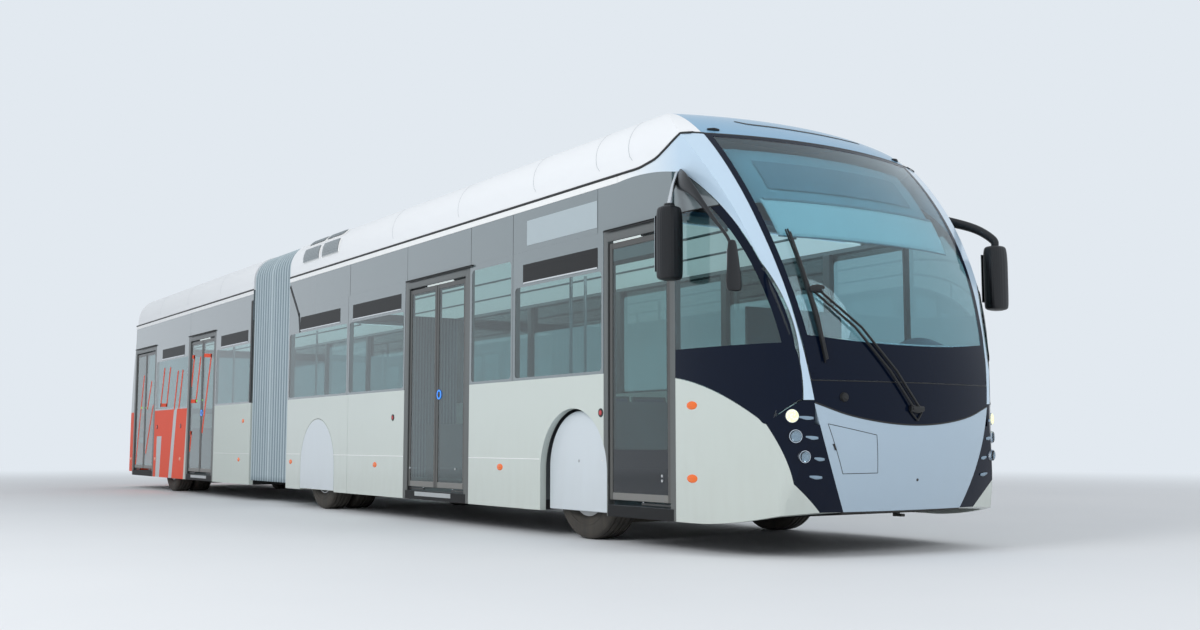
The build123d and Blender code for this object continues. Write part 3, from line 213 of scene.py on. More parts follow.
def finish(name, colour, rough, metal=0, coat=0, dusty=0.2, grain_size=0, bump=0.1, shine=0.5):
    """Opaque material with road dust on it and, where asked, a fine grain."""
    material, tree, skin = new_material(name)
    film = node(tree, "Group", {"Color": colour, "Dust": dusty, "Roughness": rough}, node_tree=dust)
    feed(tree, skin, {
        "Base Color": film.outputs["Color"], "Roughness": film.outputs["Roughness"], "Metallic": metal,
        "Coat Weight": coat, "Coat Roughness": 0.03, "Specular IOR Level": shine,
    })
    if grain_size:
        height = node(tree, "Group", {"Scale": grain_size}, node_tree=grain).outputs["Height"]
        raised = node(tree, "Bump", {"Strength": bump, "Distance": 0.002, "Height": height})
        feed(tree, skin, {"Normal": raised.outputs["Normal"]})
    return material


def repaint(material, colour):
    """Gives a finish a colour that changes over the surface, under its dust."""
    feed(material.node_tree, material.node_tree.nodes["Group"], {"Color": colour})


# Floors, axles and the drive block: dull black steel under a speckled grey vinyl floor. They
# keep the shape of the frame and get their finish here.
def wear(material, *names):
    """Gives CAD nodes a finish."""
    for name in names:
        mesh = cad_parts[name].data
        for index in range(len(mesh.materials)):
            mesh.materials[index] = material


chassis_black = finish("chassis_black", tint(40, 41, 42), 0.6, dusty=0.6, grain_size=200)
VINYL = tint(92, 96, 100)
floor_grey = finish("floor_grey", VINYL, 0.7, dusty=0, grain_size=300)
tree = floor_grey.node_tree
on_top = maths(tree, "GREATER_THAN", axes(tree)["Z"], 0.3145)
repaint(floor_grey, mixed(tree, on_top, tint(20, 20, 21), VINYL))
wear(chassis_black, "front_axles", "rear_axle", "knuckle_left", "knuckle_right")
wear(floor_grey, "rear_floor")
wear(finish("mass_grey", tint(120, 122, 122), 0.6, dusty=0, grain_size=300), "drive_blocks")


# Tyres: low, wide city tyres of black rubber, one turned section each, with four grooves
# round the tread, a rounded shoulder and a raised rib on the wall.
def mount(name, shape, material, body, slot, *stands_for, sharp=32):
    """Makes a piece of a bmesh, fixes it to a body and hides the CAD nodes it stands for."""
    mesh = bpy.data.meshes.new(name)
    shape.to_mesh(mesh)
    shape.free()
    mesh.shade_smooth()
    mesh.set_sharp_from_angle(angle=radians(sharp))
    mesh.materials.append(material)
    piece = shown(name, mesh)
    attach(piece, body)
    if stands_for:
        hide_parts(*stands_for)
    return piece


def turn(shape, section, x, y, z, steps):
    """Spins a section, given as radius and place along the axle, round a wheel's centre."""
    ring = [shape.verts.new((x + r, y + a, z)) for r, a in section]
    edges = [shape.edges.new(pair) for pair in zip(ring, ring[1:])]
    bmesh.ops.spin(
        shape, geom=ring + edges, cent=(x, y, z), axis=(0, 1, 0), angle=2 * pi, steps=steps, use_merge=True
    )
    bmesh.ops.remove_doubles(shape, verts=shape.verts, dist=1e-5)
    bmesh.ops.recalc_face_normals(shape, faces=shape.faces)


def add(shape, one):
    """Moves the faces of one bmesh into another."""
    kept = bpy.data.meshes.new("kept")
    one.to_mesh(kept)
    one.free()
    shape.from_mesh(kept)
    bpy.data.meshes.remove(kept)


TYRE_SECTION = [
    (0.287, -0.104), (0.300, -0.116), (0.330, -0.128), (0.352, -0.132), (0.356, -0.1365), (0.366, -0.1365),
    (0.370, -0.1335), (0.400, -0.137), (0.430, -0.133), (0.452, -0.126), (0.466, -0.119), (0.4745, -0.108),
    (0.4775, -0.086), (0.4665, -0.083), (0.4665, -0.071), (0.4780, -0.068), (0.4784, -0.031),
    (0.4665, -0.028), (0.4665, -0.016), (0.4784, -0.013),
]
TYRE_SECTION += [(r, -a) for r, a in reversed(TYRE_SECTION)] + [TYRE_SECTION[0]]
tyre_rubber = finish("tyre_rubber", tint(36, 36, 37), 0.72, dusty=0.28, grain_size=260, bump=0.25)
WHEEL_Z = 0.4785
# X of each axle, Y of its wheels, and Y of the outer disc's face and of the hub's end
AXLES = {
    "front": (6.6, [1.005], 1.109, 1.147),
    "middle": (0.58, [1.057, 0.741], 1.009, 1.047),
    "rear": (-6.46, [1.057, 0.741], 1.009, 1.047),
}
WHEELS = [(axle, side, hand) for axle in AXLES for side, hand in (("left", 1), ("right", -1))]
for axle, side, hand in WHEELS:
    shape = bmesh.new()
    for y in AXLES[axle][1]:
        one = bmesh.new()
        turn(one, TYRE_SECTION, AXLES[axle][0], hand * y, WHEEL_Z, 84)
        add(shape, one)
    word = "_tyre" if axle == "front" else "_tyres"
    name = axle + word + "_rubber_" + side
    mount(name, shape, tyre_rubber, axle + "_wheel_" + side, "tyre_rubber", axle + word + "_" + side)


# Rims: pressed steel discs painted silver, held by ten nuts round a hub cap, with eight round
# hand holes further out. The discs stay as the frame has them and carry the rest.
def peg(shape, x, y, z, radius, height, sides=16, axis="Y", taper=1.0):
    """A short round peg that rises along an axis from a point, towards the sign of its height."""
    turned, away = {
        "X": (Matrix.Rotation(pi / 2, 4, "Y"), Vector((1, 0, 0))),
        "Y": (Matrix.Rotation(-pi / 2, 4, "X"), Vector((0, 1, 0))),
        "Z": (Matrix(), Vector((0, 0, 1))),
    }[axis]
    wide, narrow = (radius, radius * taper) if height > 0 else (radius * taper, radius)
    place = Matrix.Translation(Vector((x, y, z)) + away * (height / 2)) @ turned
    bmesh.ops.create_cone(
        shape, cap_ends=True, segments=sides, radius1=wide, radius2=narrow, depth=abs(height), matrix=place
    )


def eased(piece, width, segments=2):
    """Rounds the edges of a piece and keeps its flat faces flat."""
    sharp = piece.data.attributes.get("sharp_edge")
    if sharp:
        piece.data.attributes.remove(sharp)
    rounding = piece.modifiers.new("rounding", "BEVEL")
    rounding.width = width
    rounding.segments = segments
    rounding.limit_method = "ANGLE"
    rounding.angle_limit = radians(30)
    rounding.harden_normals = True
    return piece


def round_steps(x, z, radius, count, shift=0.0):
    """Points evenly round a circle in the side view."""
    turns = [2 * pi * (step + shift) / count for step in range(count)]
    return [(x + radius * cos(turned), z + radius * sin(turned)) for turned in turns]


rim_silver = finish("rim_silver", tint(176, 178, 180), 0.3, metal=0.85, dusty=0.35, grain_size=300, bump=0.05)
nut_steel = finish("nut_steel", tint(205, 207, 208), 0.22, metal=1, dusty=0.2)
for axle, side, hand in WHEELS:
    x, _, face, hub_end = AXLES[axle]
    wear(rim_silver, axle + ("_rim_" if axle == "front" else "_rims_") + side)
    nuts = bmesh.new()
    for nut_x, nut_z in round_steps(x, WHEEL_Z, 0.1675, 10):
        peg(nuts, nut_x, hand * face, nut_z, 0.021, hand * 0.006, 20)
        peg(nuts, nut_x, hand * (face + 0.005), nut_z, 0.0165, hand * 0.021, 6)
        peg(nuts, nut_x, hand * (face + 0.025), nut_z, 0.0105, hand * 0.01, 12, taper=0.8)
    peg(nuts, x, hand * (hub_end - 0.002), WHEEL_Z, 0.085, hand * 0.012, 40, taper=0.93)
    peg(nuts, x, hand * (hub_end + 0.009), WHEEL_Z, 0.05, hand * 0.008, 32, taper=0.8)
    body = axle + "_wheel_" + side
    eased(mount(axle + "_wheel_nuts_" + side, nuts, nut_steel, body, "rim_silver"), 0.0012, 2)
    holes = bmesh.new()
    for hole_x, hole_z in round_steps(x, WHEEL_Z, 0.217, 8, 0.5):
        peg(holes, hole_x, hand * face, hole_z, 0.022, hand * 0.0012, 24)
    mount(axle + "_hand_holes_" + side, holes, chassis_black, body, "chassis_black")


# Body sides: flat aluminium panels in white paint, riveted to the frame, with a groove and a
# raised bead where the hinged skirt flaps start.
def cad_copy(*names):
    """A joined-up copy of CAD nodes, ready to be cut."""
    shape = bmesh.new()
    for name in names:
        shape.from_mesh(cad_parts[name].data)
    bmesh.ops.remove_doubles(shape, verts=shape.verts, dist=2e-5)
    bmesh.ops.dissolve_degenerate(shape, edges=shape.edges, dist=2e-5)
    bmesh.ops.dissolve_limit(shape, angle_limit=radians(0.2), verts=shape.verts, edges=shape.edges)
    return shape


def slab(shape, corner, opposite):
    """A plain bar between two corners."""
    size = [abs(b - a) for a, b in zip(corner, opposite)]
    middle = [(a + b) / 2 for a, b in zip(corner, opposite)]
    bmesh.ops.create_cube(shape, size=1, matrix=Matrix.Translation(middle) @ Matrix.Diagonal((*size, 1)))


def grow(shape, faces):
    """Extrudes faces in place and gives the new points."""
    made = bmesh.ops.extrude_face_region(shape, geom=faces)["geom"]
    return [part for part in made if isinstance(part, bmesh.types.BMVert)]


def cut(shape, axis, places):
    """Cuts all faces across an axis, after splitting the many-sided ones."""
    bmesh.ops.triangulate(shape, faces=[face for face in shape.faces if len(face.verts) > 4])
    along = Vector([float(index == axis) for index in range(3)])
    for place in places:
        parts = shape.verts[:] + shape.edges[:] + shape.faces[:]
        bmesh.ops.bisect_plane(shape, geom=parts, dist=1e-6, plane_co=along * place, plane_no=along)


def scribe(shape, axis, place, width=0.005, depth=0.004, span=(-20, 20), wall=1):
    """Cuts a groove into the outer faces of the body sides, or of the tail, across the given axis."""
    cut(shape, axis, (place - width / 2, place + width / 2))
    band = []
    for face in shape.faces:
        middle = face.calc_center_median()
        outer = abs(middle.y) > 1.27 if wall == 1 else middle.x < -9.3
        flat = abs(face.normal[wall]) > 0.99 and outer
        if flat and abs(middle[axis] - place) < width / 2 and span[0] < middle[3 - wall - axis] < span[1]:
            band.append(face)
    for vert in grow(shape, band):
        vert.co[wall] -= depth if vert.co[wall] > 0 else -depth


def ribbon(shape, points, width, y, thick):
    """A thin flat line that follows points in the side view, on a body side."""
    for (x0, z0), (x1, z1) in zip(points, points[1:]):
        length = sqrt((x1 - x0) ** 2 + (z1 - z0) ** 2)
        along = Vector((x1 - x0, 0, z1 - z0)).normalized()
        across = Vector((0, 1, 0))
        turned = Matrix((along, across, along.cross(across))).transposed().to_4x4()
        place = Matrix.Translation(((x0 + x1) / 2, y, (z0 + z1) / 2)) @ turned
        size = Matrix.Diagonal((length + width, thick, width, 1))
        bmesh.ops.create_cube(shape, size=1, matrix=place @ size)


SEAM_Z = 0.67
WHITE = tint(198, 207, 202)
body_white = finish("body_white", WHITE, 0.3, coat=0.6, dusty=0.22)
trim_white = finish("trim_white", tint(238, 240, 240), 0.3, coat=0.5, dusty=0.1)
sides = cad_copy("front_side_panels")
scribe(sides, 2, SEAM_Z - 0.008)
scribe(sides, 0, 8.08, span=(0.2, 1.31))
mount("front_body_sides", sides, body_white, "front_section", "body_white", "front_side_panels")
for section, z0, z1, rounding, runs in (
    ("front", SEAM_Z - 0.004, SEAM_Z + 0.005, 0.0025, (
        (-0.535, -0.02, -1), (1.13, 1.565, -1), (1.575, 3.155, -1), (4.685, 6.05, -1), (7.06, 7.085, -1),
        (-0.535, -0.02, 1), (1.13, 1.565, 1), (1.575, 4.61, 1), (4.63, 6.05, 1), (7.145, 8.04, 1),
    )),
    ("rear", SEAM_Z - 0.012, SEAM_Z - 0.006, 0.002, (
        (-3.83, -2.08, -1), (-5.29, -2.08, 1), (-8.97, -7.51, 1),
    )),
):
    beads = bmesh.new()
    for x0, x1, hand in runs:
        slab(beads, (x0, hand * 1.275 - 0.003, z0), (x1, hand * 1.275 + 0.003, z1))
    eased(mount(section + "_skirt_beads", beads, trim_white, section + "_section", "body_white"), rounding, 3)

# Covers of the wheels: moulded plates, crowned like a cushion, that turn with the steered wheels,
# with one quarter-turn lock in the middle, and flat arched plates over the middle axle.
cover_white = finish("cover_white", tint(205, 214, 220), 0.3, coat=0.5, dusty=0.15)
for side, hand in (("left", 1), ("right", -1)):
    cover = cad_copy("wheel_cover_" + side)
    knuckle = "knuckle_" + side
    name = "wheel_cover_skin_" + side
    eased(mount(name, cover, cover_white, knuckle, "body_white", "wheel_cover_" + side), 0.009, 4)
    lock = bmesh.new()
    peg(lock, AXLES["front"][0], hand * 1.2045, 0.66, 0.012, hand * 0.0025, 20)
    peg(lock, AXLES["front"][0], hand * 1.2065, 0.66, 0.006, hand * 0.0015, 6)
    mount("wheel_cover_lock_" + side, lock, nut_steel, knuckle, "rim_silver")
ARCH_X, ARCH_Z, ARCH_RADIUS, ARCH_FOOT = 0.58, 0.53, 0.574, 0.245
outline = [(ARCH_X + ARCH_RADIUS, ARCH_FOOT)]
outline += round_steps(ARCH_X, ARCH_Z, ARCH_RADIUS, 72)[:37]
outline += [(ARCH_X - ARCH_RADIUS, ARCH_FOOT)]
plates = bmesh.new()
for hand in (-1, 1):
    plate = plates.faces.new([plates.verts.new((x, hand * 1.2735, z)) for x, z in outline])
    for vert in grow(plates, [plate]):
        vert.co.y += hand * 0.0035
bmesh.ops.recalc_face_normals(plates, faces=plates.faces)
eased(mount("middle_cover_skins", plates, cover_white, "front_section", "body_white"), 0.0025, 3)

# Rear body sides and end wall: the same panels, behind door 3 in an orange livery with two
# slanted light stripes on each side. The paint is on their outside only.
stripe, given, result = new_group(
    "slanted_stripe", {"Left": 0.0, "Right": 1.0, "Lean Left": 0.0, "Lean Right": 0.0, "Top": 2.0}, ("Mask",)
)
END_WALL_BOW = 0.5 / 6.817
place = axes(stripe)
across = maths(stripe, "MULTIPLY", place["Y"], place["Y"])
unbowed = maths(stripe, "MULTIPLY_ADD", across, -END_WALL_BOW, place["X"])
on_tail = maths(stripe, "LESS_THAN", unbowed, -9.29)
on_flank = maths(stripe, "GREATER_THAN", maths(stripe, "ABSOLUTE", place["Y"]), 1.22)
left_edge = maths(stripe, "MULTIPLY_ADD", place["Z"], given["Lean Left"], given["Left"])
right_edge = maths(stripe, "MULTIPLY_ADD", place["Z"], given["Lean Right"], given["Right"])
mask = maths(stripe, "MAXIMUM", on_flank, on_tail)
mask = maths(stripe, "MULTIPLY", mask, maths(stripe, "GREATER_THAN", place["X"], left_edge))
mask = maths(stripe, "MULTIPLY", mask, maths(stripe, "LESS_THAN", place["X"], right_edge))
mask = maths(stripe, "MULTIPLY", mask, maths(stripe, "LESS_THAN", place["Z"], given["Top"]))
feed(stripe, result, {"Mask": mask})

ORANGE = tint(236, 68, 8)
STRIPE_GREY = tint(196, 204, 208)
livery = finish("rear_livery", WHITE, 0.42, dusty=0.1, shine=0.22)
paint = WHITE
# left and right edges at the ground, their lean for each metre of height, and the top
for colour, *edges in (
    (ORANGE, -12, -5.515, 0, 0.11, 1.39),
    (STRIPE_GREY, -6.455, -6.246, 0.21, 0.19, 1.39),
    (STRIPE_GREY, -7.276, -7.027, 0.035, 0.105, 0.93),
):
    values = dict(zip(("Left", "Right", "Lean Left", "Lean Right", "Top"), edges))
    block = node(livery.node_tree, "Group", values, node_tree=stripe)
    paint = mixed(livery.node_tree, block.outputs["Mask"], paint, colour)
repaint(livery, paint)
sides = cad_copy("rear_side_panels")
scribe(sides, 2, SEAM_Z - 0.015, span=(-8.9, -2))
scribe(sides, 0, -2.85, span=(0.2, SEAM_Z - 0.02))
for y in (-0.86, 0.86):
    scribe(sides, 1, y, span=(0.3, 1.37), wall=0)
scribe(sides, 2, 0.93, span=(-0.86, 0.86), wall=0)
mount("rear_body_sides", sides, livery, "rear_section", "rear_livery", "rear_side_panels")

# Upper panels: glossy grey panels like dark glass, flush with the windows, with a white
# moulding along their top and a black drip rail in the joint under the roof.
band_grey = finish("band_grey", tint(106, 118, 122), 0.16, coat=1, dusty=0.05, shine=1)
seal_black = finish("seal_black", tint(22, 23, 25), 0.5, dusty=0.15, grain_size=500)
for section, x0, x1, seams in (
    ("front", -0.537, 7.3, (7.2, 5.55, 4.7, 1.57, -0.1)), ("rear", -9.0, -2.073, (-3.84, -7.48)),
):
    body = section + "_section"
    upper = cad_copy(section + "_upper_panels")
    for x in seams:
        scribe(upper, 0, x, 0.004)
    mount(section + "_upper_skin", upper, band_grey, body, "upper_grey", section + "_upper_panels")
    mouldings = bmesh.new()
    rails = bmesh.new()
    for hand in (-1, 1):
        slab(mouldings, (x0, hand * 1.27, 2.938), (x1, hand * 1.2785, 2.992))
        slab(rails, (x0, hand * 1.265, 2.993), (x1, hand * 1.284, 3.014))
    eased(mount(section + "_band_mouldings", mouldings, trim_white, body, "band_white"), 0.002, 2)
    eased(mount(section + "_drip_rails", rails, seal_black, body, "black_matte"), 0.004, 3)


# Side windows: bonded panes of grey-green tinted glass, flush with the panels above. A printed
# border hides the bonding, and some panes carry a tilting vent with a bright rail below it; its open gap is a
# black plate of painted shade.
def glazing(name, colour, coat=0.0):
    """Clear or tinted pane that also lets lamp light through to what is behind it."""
    material, tree, skin = new_material(name)
    cloud = node(tree, "TexNoise", {"Vector": own_place(tree), "Scale": 1.3})
    deeper = [channel * 0.93 for channel in colour[:3]] + [1]
    feed(tree, skin, {
        "Base Color": mixed(tree, cloud.outputs["Fac"], colour, deeper), "Roughness": 0.0, "IOR": 1.5,
        "Transmission Weight": 1, "Coat Weight": coat, "Coat Roughness": 0,
    })
    let_through = node(tree, "BsdfTransparent", {"Color": colour})
    shadow = node(tree, "LightPath").outputs["Is Shadow Ray"]
    choose(tree, shadow, skin, let_through, tree.nodes["Material Output"])
    return material


def surround(shape, outer, opening, y, corner=0.04, steps=6):
    """A printed border from an outer rectangle to a rounded opening, given as x0, x1, z0, z1."""
    x0, x1, z0, z1 = outer
    a0, a1, b0, b1 = opening
    rims = [shape.verts.new((x, y, z)) for x, z in ((x1, z1), (x0, z1), (x0, z0), (x1, z0))]
    left, right, foot, head = a0 + corner, a1 - corner, b0 + corner, b1 - corner
    arcs = []
    for index, (a, b) in enumerate(((right, head), (left, head), (left, foot), (right, foot))):
        angles = [pi / 2 * (index + step / steps) for step in range(steps + 1)]
        arcs.append([shape.verts.new((a + corner * cos(t), y, b + corner * sin(t))) for t in angles])
    made = []
    for index, arc in enumerate(arcs):
        for start, end in zip(arc, arc[1:]):
            made.append(shape.faces.new((rims[index], start, end)))
        after = (index + 1) % 4
        made.append(shape.faces.new((rims[index], arc[-1], arcs[after][0], rims[after])))
    shape.normal_update()
    bmesh.ops.reverse_faces(shape, faces=[face for face in made if face.normal.y * y < 0])


wear(glazing("window_glass", tint(154, 182, 184), 0.3), "front_windows", "rear_windows")
vent_gap_shade = finish("vent_gap_shade", tint(8, 8, 9), 0.5, dusty=0.02)
bright_rail = finish("bright_rail", tint(225, 228, 230), 0.2, metal=0.9, dusty=0.05)
GLASS_Y = 1.2754
# side, X from and to of each pane, and of its vent
for section, panes in (
    ("front", (
        (-1, -0.54, 1.53, (-0.11, 1.27)), (-1, 1.53, 3.16, (1.67, 3.05)), (-1, 4.68, 5.55, None),
        (-1, 5.55, 7.09, (5.74, 7.0)), (1, -0.54, 1.53, (-0.11, 1.27)), (1, 1.53, 3.6, (2.0, 3.3)),
        (1, 3.6, 5.55, None), (1, 5.55, 7.09, (5.74, 7.0)), (1, 7.09, 8.05, None),
    )),
    ("rear", (
        (-1, -3.84, -2.07, (-3.58, -2.27)), (-1, -7.44, -5.36, (-7.03, -5.61)),
        (1, -3.84, -2.07, (-3.58, -2.27)), (1, -5.7, -3.84, None), (1, -7.56, -5.7, (-7.2, -6.0)),
        (1, -8.98, -7.56, None),
    )),
):
    body = section + "_section"
    borders, holes, rails, flaps = (bmesh.new() for part in range(4))
    for hand, x0, x1, vent in panes:
        clear = (x0 + 0.045, x1 - 0.035, 1.405, 2.235 if vent else 2.5)
        surround(borders, (x0 + 0.003, x1 - 0.003, 1.3805, 2.5595), clear, hand * GLASS_Y)
        if vent:
            v0, v1 = vent
            # Painted shade: a black plate on the glass stands for the dark gap of the open vent.
            slab(holes, (v0, hand * 1.2751, 2.272), (v1, hand * 1.2772, 2.44))
            slab(rails, (v0 + 0.01, hand * 1.275, 2.262), (v1 - 0.005, hand * 1.283, 2.276))
            slab(flaps, (v0 + 0.03, hand * 1.2772, 2.405), (v1 - 0.03, hand * 1.2782, 2.409))
    mount(section + "_glass_borders", borders, band_grey, body, "upper_grey")
    eased(mount(section + "_vent_openings", holes, vent_gap_shade, body, "black_matte"), 0.012, 3)
    eased(mount(section + "_vent_rails", rails, bright_rail, body, "rail_steel"), 0.003, 3)
    mount(section + "_vent_hinges", flaps, seal_black, body, "black_matte")

# Window pillars and door posts: extruded aluminium, painted dark grey, with rounded edges,
# fixed between the side panels and the upper panels.
post_grey = finish("post_grey", tint(96, 100, 100), 0.32, metal=0.2, dusty=0.15, grain_size=600, bump=0.05)
for section in ("front", "rear"):
    pillars = section + "_pillars"
    posts = cad_copy(pillars)
    eased(mount(section + "_posts", posts, post_grey, section + "_section", "frame_grey", pillars), 0.004, 3)

# Door leaves: a thin aluminium frame round a full-height pane of tinted glass, with rubber
# edges. Each hangs on two pins that stand in the arms of its turning column.
door_glass = glazing("door_glass", tint(154, 184, 184), 0.3)
leaf_grey = finish("leaf_grey", tint(80, 81, 80), 0.3, metal=0.2, dusty=0.15, grain_size=600, bump=0.05)
sill_grey = finish("sill_grey", tint(128, 129, 128), 0.35, metal=0.4, dusty=0.4, grain_size=500)
column_steel = finish("column_steel", tint(62, 64, 66), 0.4, metal=0.3, dusty=0.1)
LEAVES = {"door_1_leaf": 1}
for number in (2, 3, 4):
    LEAVES["door_%d_rear_leaf" % number] = -1
    LEAVES["door_%d_front_leaf" % number] = 1
FOOT, HEAD, STILE = 0.356, 2.45, 0.042
for leaf, hinge_side in LEAVES.items():
    column = leaf.replace("leaf", "column")
    wear(column_steel, column)
    (x0, outer), (x1, inner) = (corner[:2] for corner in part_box(leaf))
    a, b = x0 + STILE, x1 - STILE
    bars, rail, pane, printed, lips, pins = (bmesh.new() for part in range(6))
    slab(bars, (x0, outer, FOOT), (a, inner, HEAD))
    slab(bars, (b, outer, FOOT), (x1, inner, HEAD))
    slab(bars, (a - 0.002, outer + 0.001, HEAD - 0.05), (b + 0.002, inner, HEAD))
    slab(bars, (a - 0.002, outer + 0.018, FOOT + 0.06), (b + 0.002, inner, FOOT + 0.095))
    slab(rail, (a - 0.002, outer + 0.001, FOOT), (b + 0.002, inner, FOOT + 0.06))
    slab(pane, (a - 0.006, outer + 0.006, FOOT + 0.055), (b + 0.006, outer + 0.012, HEAD - 0.045))
    clear_from, clear_to = (0.39, 0.19) if leaf == "door_1_leaf" else (0.075, 0.07)
    clear = (a + 0.022, b - 0.022, FOOT + clear_from, HEAD - clear_to)
    surround(printed, (a, b, FOOT + 0.06, HEAD - 0.05), clear, outer + 0.0135, 0.012, 3)
    edge = x0 if hinge_side > 0 else x1
    slab(lips, (edge, outer + 0.006, FOOT + 0.01), (edge - hinge_side * 0.0035, inner - 0.004, HEAD - 0.01))
    far_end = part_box(column)[0][0] + 0.015 if hinge_side > 0 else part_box(column)[1][0] - 0.015
    peg(pins, far_end, -1.231, 0.328, 0.007, 0.03, 20, axis="Z")
    peg(pins, far_end, -1.231, 2.448, 0.007, 0.028, 20, axis="Z")
    eased(mount(leaf + "_frame", bars, leaf_grey, leaf, "frame_grey", leaf), 0.006, 3)
    eased(mount(leaf + "_foot_rail", rail, sill_grey, leaf, "frame_grey"), 0.008, 3)
    mount(leaf + "_pane", pane, door_glass, leaf, "window_glass")
    mount(leaf + "_printed_edge", printed, seal_black, leaf, "black_gloss")
    mount(leaf + "_rubber_lip", lips, seal_black, leaf, "black_matte")
    mount(leaf + "_pins", pins, nut_steel, leaf, "rail_steel")


# Bellows: coated fabric folded in fifteen pleats on hoops, between two end frames, with a
# flatter ring half way, lighter as its shallow folds get less painted shade. It is one sheet.
def stretch_over(shape, columns, rows, place):
    """A grid of faces whose points are moved to where place says, from two shares of 0 to 1."""
    for vert in bmesh.ops.create_grid(shape, x_segments=columns, y_segments=rows, size=0.5)["verts"]:
        vert.co = place(min(max(vert.co.x + 0.5, 0), 1), min(max(vert.co.y + 0.5, 0), 1))


def thicken(piece, depth):
    wall = piece.modifiers.new("wall", "SOLIDIFY")
    wall.thickness = depth
    wall.offset = -1
    return piece


HALF, TOP, SKIRT, BEND = 1.2625, 3.4875, 0.292, 0.363
SIDE_RUN = TOP - BEND - SKIRT
BEND_RUN = BEND * pi / 2
HALF_RUN = SIDE_RUN + BEND_RUN + HALF - BEND


def hoop_point(share, inset):
    """A point of the bellows' section, set in by a fold's depth, from one foot over to the other."""
    travel = share * 2 * HALF_RUN
    hand = -1
    if travel > HALF_RUN:
        travel = 2 * HALF_RUN - travel
        hand = 1
    if travel <= SIDE_RUN:
        return hand * (HALF - inset), SKIRT + travel
    if travel <= SIDE_RUN + BEND_RUN:
        angle = (travel - SIDE_RUN) / BEND
        radius = BEND - inset
        return hand * (HALF - BEND + radius * cos(angle)), TOP - BEND + radius * sin(angle)
    return hand * (HALF - BEND - (travel - SIDE_RUN - BEND_RUN)), TOP - inset


PLEATS = 15
WIDE_PLEAT = 7
FOLD_DEPTH = 0.036
BELLOWS_X = -0.543
BELLOWS_LENGTH = 1.524
# share of a pleat's length, and the fold's depth there
FOLD = (
    (0.0, FOLD_DEPTH), (0.12, 0.03), (0.3, 0.008), (0.42, 0.001), (0.5, 0.0), (0.58, 0.001), (0.7, 0.008),
    (0.88, 0.03),
)
pleat_places = []
for pleat in range(PLEATS):
    for share, depth in FOLD:
        flatter = 0.2 if pleat == WIDE_PLEAT and share else 1
        pleat_places.append(((pleat + share) / PLEATS, depth * flatter))
pleat_places.append((1.0, FOLD_DEPTH))


def fold_place(u, v):
    share, depth = pleat_places[round(u * (len(pleat_places) - 1))]
    y, z = hoop_point(v, depth)
    return BELLOWS_X - BELLOWS_LENGTH * share, y, z


folds = bmesh.new()
stretch_over(folds, len(pleat_places) - 1, 110, fold_place)
bmesh.ops.recalc_face_normals(folds, faces=folds.faces)
bellows_cloth = finish("bellows_cloth", tint(176, 194, 199), 0.55, dusty=0.06, grain_size=900, bump=0.2)
# Painted shade: the cloth runs from a pale tone on the ridges to a dark one deep in the folds.
tree = bellows_cloth.node_tree
painted_fold_shade = node(tree, "Attribute", attribute_name="painted_fold_shade").outputs["Fac"]
repaint(bellows_cloth, mixed(tree, painted_fold_shade, tint(194, 210, 216), tint(62, 86, 104)))
mesh = bpy.data.meshes.new("bellows_cloth")
folds.to_mesh(mesh)
folds.free()
mesh.shade_smooth()
mesh.materials.append(bellows_cloth)
# Painted shade of each point, from 0 on a ridge to 1 deep in a fold's valley.
fold_shade_values = mesh.attributes.new("painted_fold_shade", "FLOAT", "POINT")
for vert in mesh.vertices:
    y, z = abs(vert.co.y), vert.co.z
    if z > TOP - BEND and y > HALF - BEND:
        inset = BEND - sqrt((y - HALF + BEND) ** 2 + (z - TOP + BEND) ** 2)
    else:
        inset = HALF - y if z <= TOP - BEND else TOP - z
    fold_shade_values.data[vert.index].value = min(max(inset / FOLD_DEPTH, 0), 1) ** 0.45
bellows = thicken(shown("bellows_cloth", mesh), 0.003)
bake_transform(bellows)
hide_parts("bellows")

# End frames of the bellows: black aluminium channels on the last panels of each section, with
# a slanted cover strip on the front one.
strips = bmesh.new()
channels = bmesh.new()
for hand in (-1, 1):
    ribbon(strips, [(-0.515, 2.87), (-0.17, 2.475), (-0.125, 2.27)], 0.045, hand * 1.2765, 0.003)
    slab(channels, (-2.155, hand * 1.27, 1.384), (-2.074, hand * 1.2785, 2.85))
mount("front_bellows_strip", strips, seal_black, "front_section", "black_matte")
eased(mount("rear_bellows_channel", channels, seal_black, "rear_section", "black_matte"), 0.004, 2)

# Front: the nose, the hoop round the windscreen and the corner panels are one curved moulding
# in white paint; its blue is painted sky reflection. The seals, lamps and borders below are laid on its skin.
HOOP_SKY_REFLECTION = tint(188, 211, 230)
front_white = finish("front_white", HOOP_SKY_REFLECTION, 0.24, coat=0.6, dusty=0.08)
tree = front_white.node_tree
# Painted sky reflection: the hoop turns from its white paint at the back to blue at the front.
forward = node(tree, "MapRange", {"Value": axes(tree)["X"], "From Min": 7.35, "From Max": 8.15})
repaint(front_white, mixed(tree, forward.outputs["Result"], tint(238, 240, 240), HOOP_SKY_REFLECTION))
screen_black = finish("screen_black", tint(6, 17, 36), 0.12, dusty=0.02, shine=0.16)
wear(front_white, "front_hoop")
# The nose has the hoop's white paint, drawn darker and bluer as painted shade and painted sky reflection.
wear(finish("nose_painted_shade", tint(168, 188, 204), 0.24, coat=0.5, dusty=0.08), "nose_panel")
wear(screen_black, "lower_screen", "headlamp_strips")


def outer_skin(*names):
    """A searchable copy of CAD nodes, as they are."""
    parts = bmesh.new()
    for name in names:
        parts.from_mesh(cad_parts[name].data)
    return BVHTree.FromBMesh(parts)


SKINS = {
    "front": outer_skin(
        "front_hoop", "windscreen", "lower_screen", "nose_panel", "headlamp_strips", "front_side_panels",
        "front_windows", "front_roof", "front_upper_panels", "front_pillars",
    ),
    "rear": outer_skin(
        "rear_side_panels", "rear_upper_panels", "rear_windows", "rear_pillars", "tail_lamps", "rear_roof",
    ),
}


